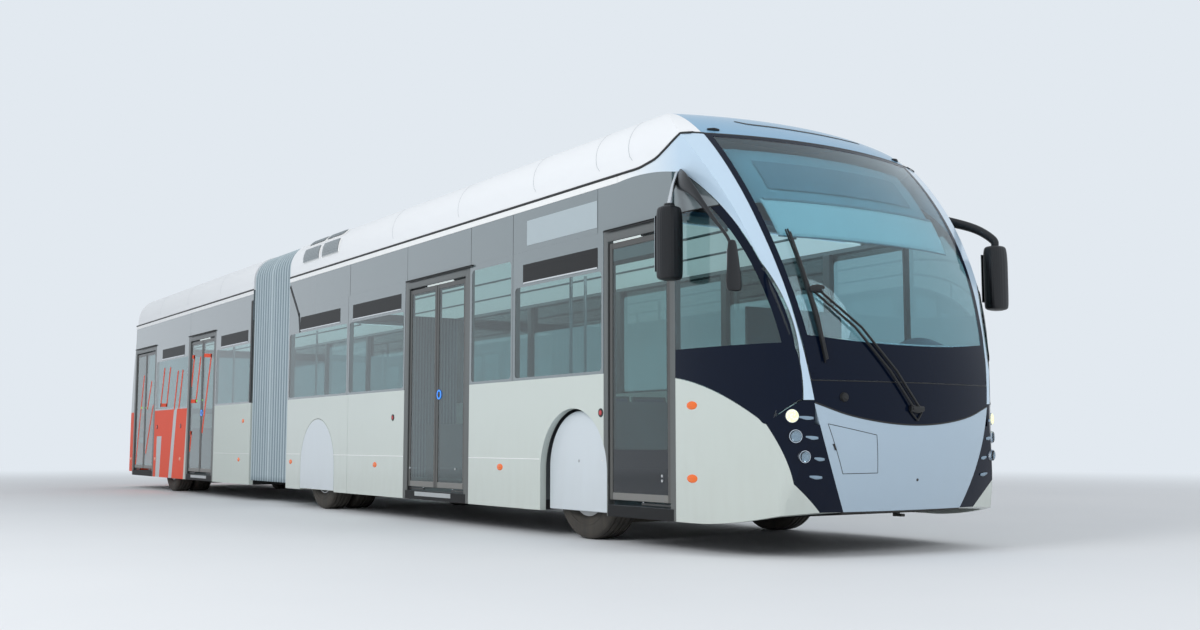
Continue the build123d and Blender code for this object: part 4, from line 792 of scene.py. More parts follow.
def on_skin(start, way, lift, section="front"):
    """Point where a line meets the outer skin, lifted off it; narrow joints are bridged."""
    way = Vector(way)
    side = way.cross(Vector((0, 0, 1)) if abs(way.z) < 0.9 else Vector((1, 0, 0))).normalized()
    hits = []
    for shift in (Vector(), side * 0.005, side * -0.005, side.cross(way) * 0.005, side.cross(way) * -0.005):
        spot, normal, face, far = SKINS[section].ray_cast(Vector(start) + shift, way)
        if spot:
            hits.append((far, normal))
    near, normal = min(hits, key=lambda hit: hit[0])
    if hits[0][0] < near + 0.012:
        near, normal = hits[0]
    return Vector(start) + way * near + normal * lift


def on_front(y, z, lift=0.0):
    return on_skin((12, y, z), (-1, 0, 0), lift)


def front_view(spot, lift):
    return on_front(spot[0], spot[1], lift)


def along(points, share):
    """Place at a share of a smooth run through points."""
    count = len(points) - 1
    index = min(int(share * count), count - 1)
    t = share * count - index
    p1, p2 = Vector(points[index]), Vector(points[index + 1])
    p0 = Vector(points[index - 1]) if index else p1 * 2 - p2
    p3 = Vector(points[index + 2]) if index + 2 <= count else p2 * 2 - p1
    bend = (2 * p0 - 5 * p1 + 4 * p2 - p3) * t ** 2
    return 0.5 * (2 * p1 + (p2 - p0) * t + bend + (3 * p1 - p0 - 3 * p2 + p3) * t ** 3)


def heading(points, share):
    return along(points, min(share + 0.01, 1)) - along(points, max(share - 0.01, 0))


def skin_patch(shape, near_edge, far_edge, caster, columns=60, rows=4, lift=0.0012):
    """A patch on the skin between two smooth runs of points in a flat view."""
    def place(u, v):
        return caster(along(near_edge, u).lerp(along(far_edge, u), v), lift)
    stretch_over(shape, columns, rows, place)


def skin_line(shape, points, width, caster, columns=60, lift=0.0015):
    """A narrow line of even width on the skin, along a smooth run of points in a flat view."""
    def place(u, v):
        step = heading(points, u)
        across = Vector((-step[1], step[0])).normalized()
        return caster(along(points, u) + across * width * (v - 0.5), lift)
    stretch_over(shape, columns, 2, place)


def outward(shape, centre):
    """Turns the faces of an open patch away from a point inside the bus."""
    bmesh.ops.recalc_face_normals(shape, faces=shape.faces)
    if sum(face.normal.dot(face.calc_center_median() - Vector(centre)) for face in shape.faces) < 0:
        bmesh.ops.reverse_faces(shape, faces=shape.faces)


# Windscreen: one bowed pane of clear, faintly green glass. A black printed border runs up its
# sides, and everything below the driver's sight line is printed black too.
wear(glazing("screen_glass", tint(182, 214, 224)), "windscreen")
SCREEN_EDGE = [
    (1.094, 3.185), (1.0925, 3.0), (1.087, 2.8), (1.0765, 2.6), (1.0625, 2.4), (1.042, 2.2), (1.018, 2.0),
    (0.990, 1.8), (0.961, 1.6), (0.9305, 1.4), (0.912, 1.262),
]
border = bmesh.new()
for hand in (-1, 1):
    near, far = ([(hand * (y - margin), z) for y, z in SCREEN_EDGE] for margin in (0.002, 0.055))
    skin_patch(border, near, far, front_view, 90, 3)
across_top = (-1.09, -0.5, 0, 0.5, 1.09)
skin_patch(border, [(y, 3.187) for y in across_top], [(y, 3.160) for y in across_top], front_view, 60, 1)
foot_near = [(y, 1.255) for y in (-0.905, -0.45, 0, 0.45, 0.905)]
foot_far = [(-0.945, 1.575), (-0.45, 1.535), (0, 1.525), (0.45, 1.535), (0.945, 1.575)]
skin_patch(border, foot_near, foot_far, front_view, 60, 8)
outward(border, (8, 0, 2))
mount("windscreen_print", border, screen_black, "front_section", "black_gloss", sharp=80)

# Seals: black rubber lines pressed into the joints above the nose, above the lower screen and
# over the windscreen's head.
seals = bmesh.new()
NOSE_TOP = [
    (-0.893, 1.094), (-0.62, 1.010), (-0.31, 0.960), (0, 0.943), (0.31, 0.960), (0.62, 1.010), (0.893, 1.094),
]
skin_line(seals, NOSE_TOP, 0.011, front_view, 90)
skin_line(seals, [(y, 1.25) for y in (-0.912, -0.45, 0, 0.45, 0.912)], 0.006, front_view)
skin_line(seals, [(y, 3.191) for y in across_top], 0.012, front_view)
outward(seals, (8, 0, 2))
mount("front_seals", seals, seal_black, "front_section", "black_matte", sharp=80)

# Service hatch, catch and small fittings of the nose: a flush flap with a thin joint, a black
# pull, a round cap, and a towing eye below the chin.
hatch = bmesh.new()
HATCH = [(-0.792, 0.946), (-0.378, 0.869), (-0.350, 0.599), (-0.652, 0.596)]
for start, end in zip(HATCH, HATCH[1:] + HATCH[:1]):
    middle = ((start[0] + end[0]) / 2, (start[1] + end[1]) / 2)
    skin_line(hatch, [start, middle, end], 0.0045, front_view, 12, 0.0009)
outward(hatch, (8, 0, 1))
mount("hatch_joint", hatch, seal_black, "front_section", "black_matte", sharp=80)
pull = bmesh.new()
near = [(-0.752, 0.806), (-0.742, 0.784), (-0.732, 0.762)]
skin_patch(pull, near, [(y + 0.014, z) for y, z in near], front_view, 4, 2, 0.006)
outward(pull, (8, 0, 1))
thicken(mount("hatch_pull", pull, seal_black, "front_section", "black_matte"), 0.006)
caps = bmesh.new()
knob_x = on_front(-0.657, 1.135).x
peg(caps, knob_x - 0.012, -0.657, 1.135, 0.036, 0.03, 24, axis="X", taper=0.85)
peg(caps, knob_x + 0.016, -0.657, 1.135, 0.027, 0.012, 24, axis="X", taper=0.6)
peg(caps, on_front(0.047, 0.546).x - 0.004, 0.047, 0.546, 0.012, 0.006, 16, axis="X")
slab(caps, (8.90, 0.15, 0.262), (8.93, 0.20, 0.33))
slab(caps, (8.93, 0.155, 0.262), (8.985, 0.195, 0.282))
eased(mount("nose_fittings", caps, seal_black, "front_section", "black_matte"), 0.003, 2)

# Headlamp strips: glossy black housings, each with three round lamps in bright bezels and
# four shaped fins beside them. The upper lamp is lit.
lamp_lit, tree, glow = new_material("lamp_lit")
cells = node(tree, "TexVoronoi", {"Vector": own_place(tree), "Scale": 90}).outputs["Distance"]
shade = mixed(tree, cells, tint(255, 252, 225), tint(226, 222, 150))
feed(tree, glow, {"Base Color": shade, "Emission Color": shade, "Emission Strength": 0.75, "Roughness": 0.2})
reflector = finish("lamp_reflector", tint(150, 170, 186), 0.12, metal=1, dusty=0)
chrome = finish("lamp_chrome", tint(205, 212, 220), 0.08, metal=1, dusty=0)
lamp_glass = glazing("lamp_glass", tint(235, 240, 240))
rings, bowls, lit_bowls, lenses, fins = (bmesh.new() for part in range(5))
for hand in (-1, 1):
    for bowl, y, z, radius in (
        (lit_bowls, 1.031, 1.0, 0.044), (bowls, 1.015, 0.859, 0.043), (bowls, 0.968, 0.718, 0.040),
    ):
        y *= hand
        spot = on_front(y, z)
        sideways = on_front(y + 0.02, z) - on_front(y - 0.02, z)
        upward = on_front(y, z + 0.02) - on_front(y, z - 0.02)
        normal = (sideways.cross(upward).normalized() + Vector((0.55, 0, 0))).normalized()
        turned = normal.to_track_quat("Z", "Y").to_matrix().to_4x4()
        for shape, lift, wide, narrow, depth in (
            (rings, 0.004, 1.16, 1.08, 0.02), (bowl, 0.015, 1.0, 0.98, 0.004),
        ):
            bmesh.ops.create_cone(
                shape, cap_ends=True, segments=40, radius1=radius * wide, radius2=radius * narrow,
                depth=depth, matrix=Matrix.Translation(spot + normal * lift) @ turned,
            )
        middle = spot + normal * 0.015
        dome = bmesh.ops.create_uvsphere(
            lenses, u_segments=32, v_segments=12, radius=radius * 0.98,
            matrix=Matrix.Translation(middle) @ turned @ Matrix.Diagonal((1, 1, 0.3, 1)),
        )
        low = [vert for vert in dome["verts"] if (vert.co - middle).dot(normal) < -0.001]
        bmesh.ops.delete(lenses, geom=low, context="VERTS")
    for y, z, reach in (
        (0.952, 0.987, 0.045), (0.914, 0.849, 0.045), (0.851, 0.70, 0.04), (0.866, 0.574, 0.05),
    ):
        upper = [(hand * (y + reach), z + 0.012), (hand * y, z + 0.012), (hand * (y - reach), z + 0.006)]
        lower = [(hand * (y + reach), z + 0.002), (hand * y, z - 0.014), (hand * (y - reach), z - 0.010)]
        skin_patch(fins, upper, lower, front_view, 10, 4, 0.004)
outward(fins, (8, 0, 0.8))
mount("lamp_bezels", rings, chrome, "front_section", "rim_silver")
mount("lamp_bowls", bowls, reflector, "front_section", "rim_silver")
mount("lamp_bowls_lit", lit_bowls, lamp_lit, "front_section", "band_white")
mount("lamp_lenses", lenses, lamp_glass, "front_section", "screen_glass", sharp=80)
thicken(mount("lamp_fins", fins, reflector, "front_section", "rim_silver"), 0.004)

# Roof: white glassfibre fairings in bolted lengths over both sections. Over the cab they are
# painted silver-blue, in a field that narrows backwards.
ROOF = tint(234, 237, 240)
roof_white = finish("roof_white", ROOF, 0.35, coat=0.4, dusty=0.08)
tree = roof_white.node_tree
place = axes(tree)
behind = maths(tree, "MAXIMUM", maths(tree, "SUBTRACT", 8.2, place["X"]), 0)
half_width = maths(tree, "MULTIPLY_ADD", maths(tree, "POWER", behind, 2.2), -0.34, 1.103)
within = maths(tree, "LESS_THAN", maths(tree, "ABSOLUTE", place["Y"]), half_width)
on_cap = maths(tree, "MULTIPLY", within, maths(tree, "GREATER_THAN", place["X"], 7.3))
repaint(roof_white, mixed(tree, on_cap, ROOF, tint(124, 166, 196)))
wear(roof_white, "front_roof", "rear_roof")


# Cab side glasses: curved panes beside the driver, printed black below the sill and along the
# hoop, and grey above the door's height like the band that they meet.
def arc_run(a, b, c, count, inset=0.0):
    """Points along the arc through three points of a flat view, drawn in by the inset."""
    (ax, ay), (bx, by), (cx, cy) = a, b, c
    twice = 2 * (ax * (by - cy) + bx * (cy - ay) + cx * (ay - by))
    squares = ax**2 + ay**2, bx**2 + by**2, cx**2 + cy**2
    ox = (squares[0] * (by - cy) + squares[1] * (cy - ay) + squares[2] * (ay - by)) / twice
    oy = (squares[0] * (cx - bx) + squares[1] * (ax - cx) + squares[2] * (bx - ax)) / twice
    radius = sqrt((ax - ox) ** 2 + (ay - oy) ** 2) - inset
    first = atan2(ay - oy, ax - ox)
    last = atan2(cy - oy, cx - ox)
    angles = [first + (last - first) * step / count for step in range(count + 1)]
    return [(ox + radius * cos(angle), oy + radius * sin(angle)) for angle in angles]


def level_run(x0, x1, z, count=12):
    return [(x0 + (x1 - x0) * step / count, z) for step in range(count + 1)]


def side_caster(hand, section="front"):
    """Casts points of the side view onto one side of the bus."""
    def side_view(spot, lift):
        return on_skin((spot[0], hand * 3, spot[1]), (0, -hand, 0), lift, section)
    return side_view


HOOP_EDGE = ((9.165, 1.112), (8.9, 2.15), (8.176, 2.869))
BROW = ((8.08, 1.3), (8.56, 1.165), (8.953, 0.941))
GUTTER = [
    (7.29, 3.004), (7.45, 3.004), (7.6, 3.005), (7.72, 3.02), (7.84, 3.041), (7.95, 3.084), (8.05, 3.13),
    (8.12, 3.161), (8.185, 3.19),
]
dark_print, grey_print, joints = (bmesh.new() for part in range(3))
for hand in (-1, 1):
    side_view = side_caster(hand)
    brow = [(x, z + 0.005) for x, z in arc_run(*BROW, 10)] + [(9.06, 1.036), (9.155, 1.12)]
    skin_patch(dark_print, brow, level_run(8.083, 9.082, 1.515), side_view, 60, 8)
    near, far = arc_run(*HOOP_EDGE, 24, 0.004), arc_run(*HOOP_EDGE, 24, 0.07)
    skin_patch(dark_print, near, far, side_view, 90, 3, 0.0018)
    hoop_run = [spot for spot in reversed(arc_run(*HOOP_EDGE, 60, 0.004)) if spot[1] > 2.563]
    sill = level_run(8.083, hoop_run[-1][0], 2.562)
    skin_patch(grey_print, sill, [(8.083, 2.882)] + hoop_run, side_view, 40, 6, 0.0022)
    skin_line(joints, [(8.05, 2.557), (8.3, 2.557), (8.58, 2.557)], 0.008, side_view, 24, 0.0035)
    skin_line(joints, GUTTER, 0.02, side_view, 60, 0.005)
    end = [(hand * 1.2, 3.192), (hand * 1.15, 3.192), (hand * 1.08, 3.191)]
    skin_line(joints, end, 0.014, front_view, 12, 0.003)
for shape in (dark_print, grey_print, joints):
    outward(shape, (7.5, 0, 1.8))
mount("cab_glass_print", dark_print, screen_black, "front_section", "black_gloss", sharp=80)
mount("cab_glass_band", grey_print, band_grey, "front_section", "upper_grey", sharp=80)
thicken(mount("cab_joints", joints, seal_black, "front_section", "black_matte", sharp=80), 0.004)

# Floor of the front section: the frame's slab, with the part under the cab thinned from below,
# so that the nose overhangs a shallow black underside.
floor_shape = cad_copy("front_floor")
cut(floor_shape, 0, (8.1, 8.16))
for vert in floor_shape.verts:
    if vert.co.x > 8.13 and vert.co.z < 0.29:
        vert.co.z = 0.304
mount("front_floor_skin", floor_shape, floor_grey, "front_section", "floor_grey", "front_floor")


# Front valance: a bent strip of black plastic under the nose and the corner panels, clipped to
# the floor's edge. It hides the underside.
def under_nose(spot, lift):
    edge = on_front(spot[0], 0.34, -0.012)
    return Vector((edge.x - (0.34 - spot[1]) * 0.3, spot[0], spot[1]))


valance = bmesh.new()
across_lip = (-0.61, -0.3, 0, 0.3, 0.61)
skin_patch(valance, [(y, 0.326) for y in across_lip], [(y, 0.311) for y in across_lip], under_nose, 40, 2)
outward(valance, (8, 0, 0.3))
thicken(mount("front_valance", valance, seal_black, "front_section", "black_matte"), 0.006)


# Mirrors: ribbed black housings that hang from bent arms. The one beside the door hangs from a
# flat bright bar, and a black sickle arm beside it carries a slim mirror that shows the door.
def bar(shape, places, sizes, columns=40, sides=20, up=(0, 1, 0), square=1.0, flutes=0):
    """A rounded bar through places, with its width and thickness given along the way."""
    def reach(part):
        return abs(part) ** square * (1 if part > 0 else -1)

    def place(u, v):
        ahead = heading(places, u).normalized()
        across = ahead.cross(Vector(up)).normalized()
        size = along([(a, b, 0) for a, b in sizes], u)
        angle = 2 * pi * v
        wave = 1 - 0.03 * (flutes > 0) * (0.5 + 0.5 * cos(flutes * angle))
        out = across * reach(cos(angle)) * size[0] + across.cross(ahead) * reach(sin(angle)) * size[1]
        return along(places, u) + out / 2 * wave
    one = bmesh.new()
    stretch_over(one, columns, sides, place)
    bmesh.ops.remove_doubles(one, verts=one.verts, dist=1e-5)
    bmesh.ops.holes_fill(one, edges=[edge for edge in one.edges if edge.is_boundary], sides=0)
    bmesh.ops.recalc_face_normals(one, faces=one.faces)
    add(shape, one)


AHEAD = (1, 0, 0)
UP = (0, 0, 1)
HEAD_SIZES = [
    (0.05, 0.05), (0.15, 0.13), (0.185, 0.155), (0.2, 0.165), (0.2, 0.165), (0.198, 0.165), (0.192, 0.16),
    (0.17, 0.14), (0.1, 0.08),
]
mirror_black = finish("mirror_black", tint(15, 17, 21), 0.34, dusty=0.03, grain_size=420, bump=0.15)
mirror_glass = finish("mirror_glass", tint(200, 206, 210), 0.02, metal=1, dusty=0)
arm_silver = finish("arm_silver", tint(212, 216, 220), 0.25, metal=0.8, dusty=0.08)
heads, glasses, arms, bright = (bmesh.new() for part in range(4))
for x, y, top, foot in ((8.225, -1.43, 2.585, 2.02), (8.875, 1.435, 2.44, 1.9)):
    levels = [top, top - 0.012, top - 0.045]
    levels += [top + (foot - top) * share for share in (0.25, 0.5, 0.75)]
    levels += [foot + 0.04, foot + 0.012, foot]
    bar(heads, [(x, y, z) for z in levels], HEAD_SIZES, 48, 84, AHEAD, 0.75, 28)
    slab(glasses, (x - 0.086, y - 0.078, foot + 0.07), (x - 0.081, y + 0.078, top - 0.07))
left_arm = [
    (8.26, 1.235, 2.75), (8.47, 1.37, 2.69), (8.7, 1.42, 2.6), (8.86, 1.435, 2.49), (8.875, 1.435, 2.42),
]
bar(arms, left_arm, [(0.1, 0.06), (0.085, 0.06), (0.075, 0.06), (0.07, 0.06), (0.06, 0.06)], 40, 24, flutes=8)
sickle = [
    (8.12, -1.262, 2.83), (8.3, -1.355, 2.765), (8.48, -1.39, 2.65), (8.7, -1.4, 2.44), (8.87, -1.4, 2.27),
    (8.925, -1.4, 2.17),
]
sickle_sizes = [(0.16, 0.036), (0.14, 0.036), (0.072, 0.034), (0.032, 0.024), (0.026, 0.022), (0.024, 0.02)]
bar(arms, sickle, sickle_sizes, 60, 18)
slim_run = [
    (8.928, 2.235), (8.929, 2.22), (8.933, 2.15), (8.94, 2.05), (8.945, 1.93), (8.947, 1.88), (8.947, 1.87),
]
slim_sizes = [
    (0.02, 0.02), (0.06, 0.034), (0.085, 0.045), (0.105, 0.05), (0.13, 0.055), (0.11, 0.05), (0.05, 0.03),
]
bar(heads, [(x, -1.4, z) for x, z in slim_run], slim_sizes, 40, 24, AHEAD, 0.8)
slab(glasses, (8.912, -1.438, 1.95), (8.917, -1.362, 2.17))
peg(arms, 8.225, -1.43, 2.6, 0.04, -0.05, 24, axis="Z", taper=1.35)
bright_run = [(8.1, -1.258, 2.865), (8.135, -1.31, 2.8), (8.185, -1.38, 2.7), (8.222, -1.43, 2.59)]
bright_sizes = [(0.075, 0.028), (0.075, 0.028), (0.07, 0.03), (0.062, 0.034)]
bar(bright, bright_run, bright_sizes, 24, 16, (0, 0.6, 0.4), 0.6)
mount("mirror_heads", heads, mirror_black, "front_section", "black_matte", "mirrors", sharp=60)
mount("mirror_arms", arms, mirror_black, "front_section", "black_matte", sharp=50)
mount("mirror_bright_arm", bright, arm_silver, "front_section", "rim_silver", sharp=50)
eased(mount("mirror_glasses", glasses, mirror_glass, "front_section", "rim_silver"), 0.002, 2)

# Wiper: a pantograph of two black arms from a spindle at the foot of the screen, with a cast
# head that carries one long blade up the screen's side.
wiper_black = finish("wiper_black", tint(20, 21, 23), 0.4, dusty=0.05, grain_size=500, bump=0.05)
wear(wiper_black, "wiper")
blade = bmesh.new()
# points in the front view, their height over the glass, sizes, columns, sides and squareness
for points, lift, sizes, columns, sides, square in (
    (((-0.868, 2.35), (-0.86, 2.15), (-0.846, 1.92), (-0.822, 1.66), (-0.795, 1.39)), 0.03,
     [(0.012, 0.016), (0.02, 0.026), (0.028, 0.034), (0.02, 0.026), (0.012, 0.016)], 50, 12, 1.0),
    (((-0.872, 2.36), (-0.862, 2.15), (-0.848, 1.92), (-0.822, 1.66), (-0.793, 1.375)), 0.009,
     [(0.006, 0.016)] * 5, 50, 6, 1.0),
    (((-0.73, 1.91), (-0.79, 1.9), (-0.85, 1.89)), 0.045,
     [(0.03, 0.03), (0.05, 0.04), (0.035, 0.04)], 16, 12, 0.7),
    (((-0.075, 1.06), (0, 1.055), (0.06, 1.06)), 0.018,
     [(0.04, 0.03), (0.055, 0.032), (0.04, 0.03)], 12, 12, 0.7),
    (((-0.07, 1.045), (-0.0325, 1.01), (0.005, 0.975)), 0.012, [(0.012, 0.012)] * 3, 10, 8, 1.0),
    (((0.06, 1.045), (0.0325, 1.01), (0.005, 0.975)), 0.012, [(0.012, 0.012)] * 3, 10, 8, 1.0),
):
    bar(blade, [on_front(y, z, lift) for y, z in points], sizes, columns, sides, AHEAD, square)
mount("wiper_blade", blade, wiper_black, "front_section", "black_matte", sharp=60)

# Rain rails over the doors, bright ramp plates in the sills of doors 2 and 3, and the blank
# plate of the side display: pressed and extruded aluminium, screwed to the body.
plate_silver = finish("plate_silver", tint(196, 200, 202), 0.32, metal=0.75, dusty=0.3, grain_size=350)
# the rain rails as X from, X to and Z, then X from and to of the doorways and of the ramp plate
for section, rail_runs, openings, (plate_0, plate_1) in (
    ("front", [(7.115, 8.02, 2.557), (3.2, 4.76, 2.552)], [(7.165, 7.995), (3.27, 4.57)], (3.46, 4.30)),
    ("rear", [(-5.33, -3.87, 2.552), (-8.94, -7.46, 2.552)], [(-5.25, -3.95), (-8.87, -7.55)],
     (-5.03, -4.17)),
):
    body = section + "_section"
    rain_rails, brushes, plates = (bmesh.new() for part in range(3))
    for x0, x1, z in rail_runs:
        slab(rain_rails, (x0, -1.298, z - 0.004), (x1, -1.268, z + 0.006))
        slab(rain_rails, (x0, -1.298, z - 0.012), (x1, -1.294, z + 0.006))
    for x0, x1 in openings:
        slab(brushes, (x0, -1.262, 2.484), (x1, -1.25, 2.557))
    slab(plates, (plate_0, -1.2775, 0.262), (plate_1, -1.27, 0.306))
    slab(plates, (plate_0 + 0.03, -1.2785, 0.279), (plate_1 - 0.03, -1.277, 0.289))
    eased(mount(section + "_rain_rails", rain_rails, seal_black, body, "black_matte"), 0.0015, 2)
    mount(section + "_door_brushes", brushes, seal_black, body, "black_matte")
    eased(mount(section + "_ramp_plate", plates, plate_silver, body, "rail_steel"), 0.002, 2)
display_grey = finish("display_grey", tint(164, 178, 184), 0.22, coat=0.7, dusty=0.05)
display = bmesh.new()
slab(display, (5.81, -1.2775, 2.61), (6.99, -1.27, 2.84))
joints = bmesh.new()
for x in (1.57, 4.7, 5.55):
    slab(joints, (x - 0.002, -1.2762, 2.565), (x + 0.002, -1.274, 2.935))
mount("front_band_joints", joints, seal_black, "front_section", "black_matte")
eased(mount("side_display", display, display_grey, "front_section", "upper_grey"), 0.002, 3)


# Marker lamps and buttons along both sides: amber moulded lenses, red emergency buttons in dark
# rings, and on the door leaves lit rings and dots for the passengers and steel locks.
def lens(shape, x, z, hand, section):
    """A domed lens pressed into the skin of a side."""
    side_view = side_caster(hand, section)
    turned = (side_view((x + 0.02, z), 0) - side_view((x - 0.02, z), 0)).normalized()
    outwards = Vector((0, 0, 1)).cross(turned).normalized()
    outwards *= 1 if outwards.y * hand > 0 else -1
    square_to = Matrix((turned, outwards, Vector((0, 0, 1)))).transposed().to_4x4()
    place = Matrix.Translation(side_view((x, z), 0) - outwards * 0.002) @ square_to
    size = Matrix.Diagonal((0.12, 0.02, 0.064, 1))
    bmesh.ops.create_uvsphere(shape, u_segments=28, v_segments=14, radius=0.5, matrix=place @ size)


marker_amber = finish("marker_amber", tint(240, 106, 6), 0.2, coat=0.5, dusty=0.08, grain_size=220, bump=0.1)
button_red = finish("button_red", tint(176, 26, 30), 0.25, coat=0.6, dusty=0.05)
for section, places, buttons in (
    ("front", [(8.27, 1.09), (8.27, 0.55), (5.32, 0.59), (2.39, 0.57), (-0.37, 0.57)],
     [(7.045, 1.06), (2.87, 1.09)]),
    ("rear", [(-2.41, 1.13), (-2.57, 0.575), (-5.7, 0.55), (-7.32, 0.535), (-9.08, 0.52)],
     [(-7.238, 1.093), (-5.719, 1.094)]),
):
    body = section + "_section"
    amber, rims, reds = (bmesh.new() for part in range(3))
    for hand in (-1, 1):
        for x, z in places:
            lens(amber, x, z, hand, section)
    for x, z in buttons:
        peg(rims, x, -1.2745, z, 0.038, -0.005, 32, taper=0.9)
        peg(reds, x, -1.279, z, 0.023, -0.005, 28, taper=0.8)
    mount(section + "_side_markers", amber, marker_amber, body, "lamp_red", sharp=80)
    eased(mount(section + "_button_rims", rims, seal_black, body, "black_matte"), 0.0015, 2)
    eased(mount(section + "_red_buttons", reds, button_red, body, "lamp_red"), 0.0012, 2)


def lit(name, colour, strength):
    """A small lit lens: its own colour, brighter in the middle of each cell."""
    material = finish(name, colour, 0.3, dusty=0)
    tree = material.node_tree
    cells = node(tree, "TexVoronoi", {"Vector": own_place(tree), "Scale": 300}).outputs["Distance"]
    dimmer = [channel * 0.8 for channel in colour[:3]] + [1]
    feed(tree, tree.nodes["Principled BSDF"], {
        "Emission Color": mixed(tree, cells, colour, dimmer), "Emission Strength": strength,
    })
    return material


ring_blue = lit("ring_blue", tint(40, 130, 235), 1.0)
dot_green = lit("dot_green", tint(120, 220, 70), 0.8)
LEAF_FACE = -1.2632
for leaf, rings, dots, locks in (
    ("door_1_leaf", [], [], [(7.884, 0.561), (7.884, 0.523)]),
    ("door_2_front_leaf", [(3.988, 1.307)], [], [(4.371, 0.555)]),
    ("door_2_rear_leaf", [], [], [(3.3, 0.551)]),
    ("door_3_front_leaf", [(-4.576, 1.288)], [(-4.565, 1.49)], []),
    ("door_3_rear_leaf", [], [(-4.875, 1.488)], []),
    ("door_4_front_leaf", [], [(-8.177, 1.452)], []),
    ("door_4_rear_leaf", [], [(-8.46, 1.458)], []),
):
    if rings:
        shape = bmesh.new()
        for x, z in rings:
            section = [(0.035, 0), (0.035, -0.003), (0.049, -0.003), (0.049, 0), (0.035, 0)]
            turn(shape, section, x, LEAF_FACE + 0.001, z, 32)
        mount(leaf + "_ring", shape, ring_blue, leaf, "lamp_red")
    if dots:
        shape = bmesh.new()
        for x, z in dots:
            peg(shape, x, LEAF_FACE + 0.009, z, 0.016, -0.008, 20)
        mount(leaf + "_dot", shape, dot_green, leaf, "lamp_red")
    if locks:
        shape = bmesh.new()
        for x, z in locks:
            peg(shape, x, LEAF_FACE + 0.009, z, 0.013, -0.009, 20, taper=0.9)
            peg(shape, x, LEAF_FACE + 0.001, z, 0.006, -0.002, 6)
        mount(leaf + "_lock", shape, nut_steel, leaf, "rim_silver")
for name, z0, z1, material, slot in (
    ("head", 2.3, 2.402, band_grey, "upper_grey"), ("kick", 0.4, 0.76, screen_black, "black_gloss"),
):
    shape = bmesh.new()
    slab(shape, (7.206, -1.2512, z0), (7.956, -1.2495, z1))
    mount("door_1_leaf_%s_print" % name, shape, material, "door_1_leaf", slot)

# Orange outlines of the livery: narrow film on the rear section's glass, in open frames that
# lean like the stripes below them. Each rides with the pane that it is stuck to.
outline_orange = finish("outline_orange", ORANGE, 0.5, dusty=0.05, shine=0.2)
for body, y, runs in (
    ("door_3_rear_leaf", -1.2572, [
        [(-5.2, 2.215), (-5.083, 2.205), (-5.2, 1.755)], [(-5.2, 1.488), (-4.92, 1.483), (-4.729, 2.164)],
        [(-5.2, 0.976), (-5.134, 0.974), (-5.2, 0.7)],
    ]),
    ("door_3_front_leaf", -1.2572, [[(-4.508, 2.198), (-4.14, 2.174), (-4.52, 1.0)]]),
    ("door_4_rear_leaf", -1.2572, [[(-8.363, 2.022), (-8.789, 0.448)]]),
    ("door_4_front_leaf", -1.2572, [[(-7.805, 1.9), (-8.037, 1.445)], [(-7.652, 1.463), (-8.062, 0.651)]]),
    ("rear_section", -1.2765, [
        [(-6.855, 2.083), (-7.043, 1.471), (-6.641, 1.461), (-6.479, 2.077)],
        [(-5.978, 1.996), (-6.152, 1.395)], [(-5.687, 1.994), (-5.862, 1.395)],
    ]),
):
    films = bmesh.new()
    for run in runs:
        ribbon(films, run, 0.058, y, 0.001)
    mount(body + "_orange_lines", films, outline_orange, body, "rear_livery")


# Roof details: joints between the fairing's lengths, a dark air slot and two marker lamps on
# the cap, and louvred vents in white frames on the shoulder over the middle axle.
def on_roof(x, y, lift=0.0):
    return on_skin((x, y, 5), (0, 0, -1), lift)


def over_roof(x, angle, lift, section):
    """Point on the roof where a line from the middle of the cabin's ceiling leaves it."""
    way = Vector((0, cos(angle), sin(angle)))
    return on_skin(Vector((x, 0, 2.4)) + way * 3, -way, lift, section)


seam_grey = finish("seam_grey", tint(150, 158, 166), 0.5, dusty=0.05, grain_size=500)
EAVES = 0.492
ROOF_TOP = 3.4998
# X of each joint at the eaves and over the crown
for section, seams in (
    ("front", [(7.515, 7.39), (7.03, 6.9), (5.97, 5.85), (4.42, 4.36), (2.8, 2.74)]),
    ("rear", [(-3.67, -3.73), (-5.5, -5.56), (-7.25, -7.31)]),
):
    seam = bmesh.new()
    for foot, crown in seams:
        def across(u, v):
            x = foot + (crown - foot) * min(sin(pi * u) ** 0.5 * 1.6, 1) + (v - 0.5) * 0.005
            spot = over_roof(x, EAVES + (pi - 2 * EAVES) * u, 0.0012, section)
            return Vector((spot.x, spot.y, min(spot.z, ROOF_TOP)))
        stretch_over(seam, 90, 1, across)
    outward(seam, (0 if section == "front" else -5.5, 0, 2.4))
    mount(section + "_roof_joints", seam, seam_grey, section + "_section", "roof_white", sharp=80)


def cap_view(spot, lift):
    return on_roof(spot[0], spot[1], lift)


slots = bmesh.new()
SLOT = [(8.095, -0.69), (8.16, -0.58), (8.2, -0.35), (8.225, -0.12), (8.225, 0.15), (8.2, 0.4), (8.15, 0.62)]
skin_line(slots, SLOT, 0.028, cap_view, 50, 0.002)
outward(slots, (7.5, 0, 2.5))
mount("cap_air_slot", slots, seal_black, "front_section", "black_matte", sharp=80)
lamps = bmesh.new()
LAMP_RUN = ((0.02, -0.045, 0), (0.012, 0, 0.002), (-0.012, 0.045, 0))
for hand in (-1, 1):
    spot = on_roof(8.2, hand * 0.99)
    run = [spot + Vector((x, y * hand, z)) for x, y, z in LAMP_RUN]
    bar(lamps, run, [(0.022, 0.016), (0.03, 0.022), (0.022, 0.016)], 12, 12, UP, 0.7)
mount("roof_marker_lamps", lamps, mirror_black, "front_section", "black_matte", sharp=60)
SHOULDER_Y = 0.9
SHOULDER_Z = 3.125
SHOULDER_RADIUS = 0.375


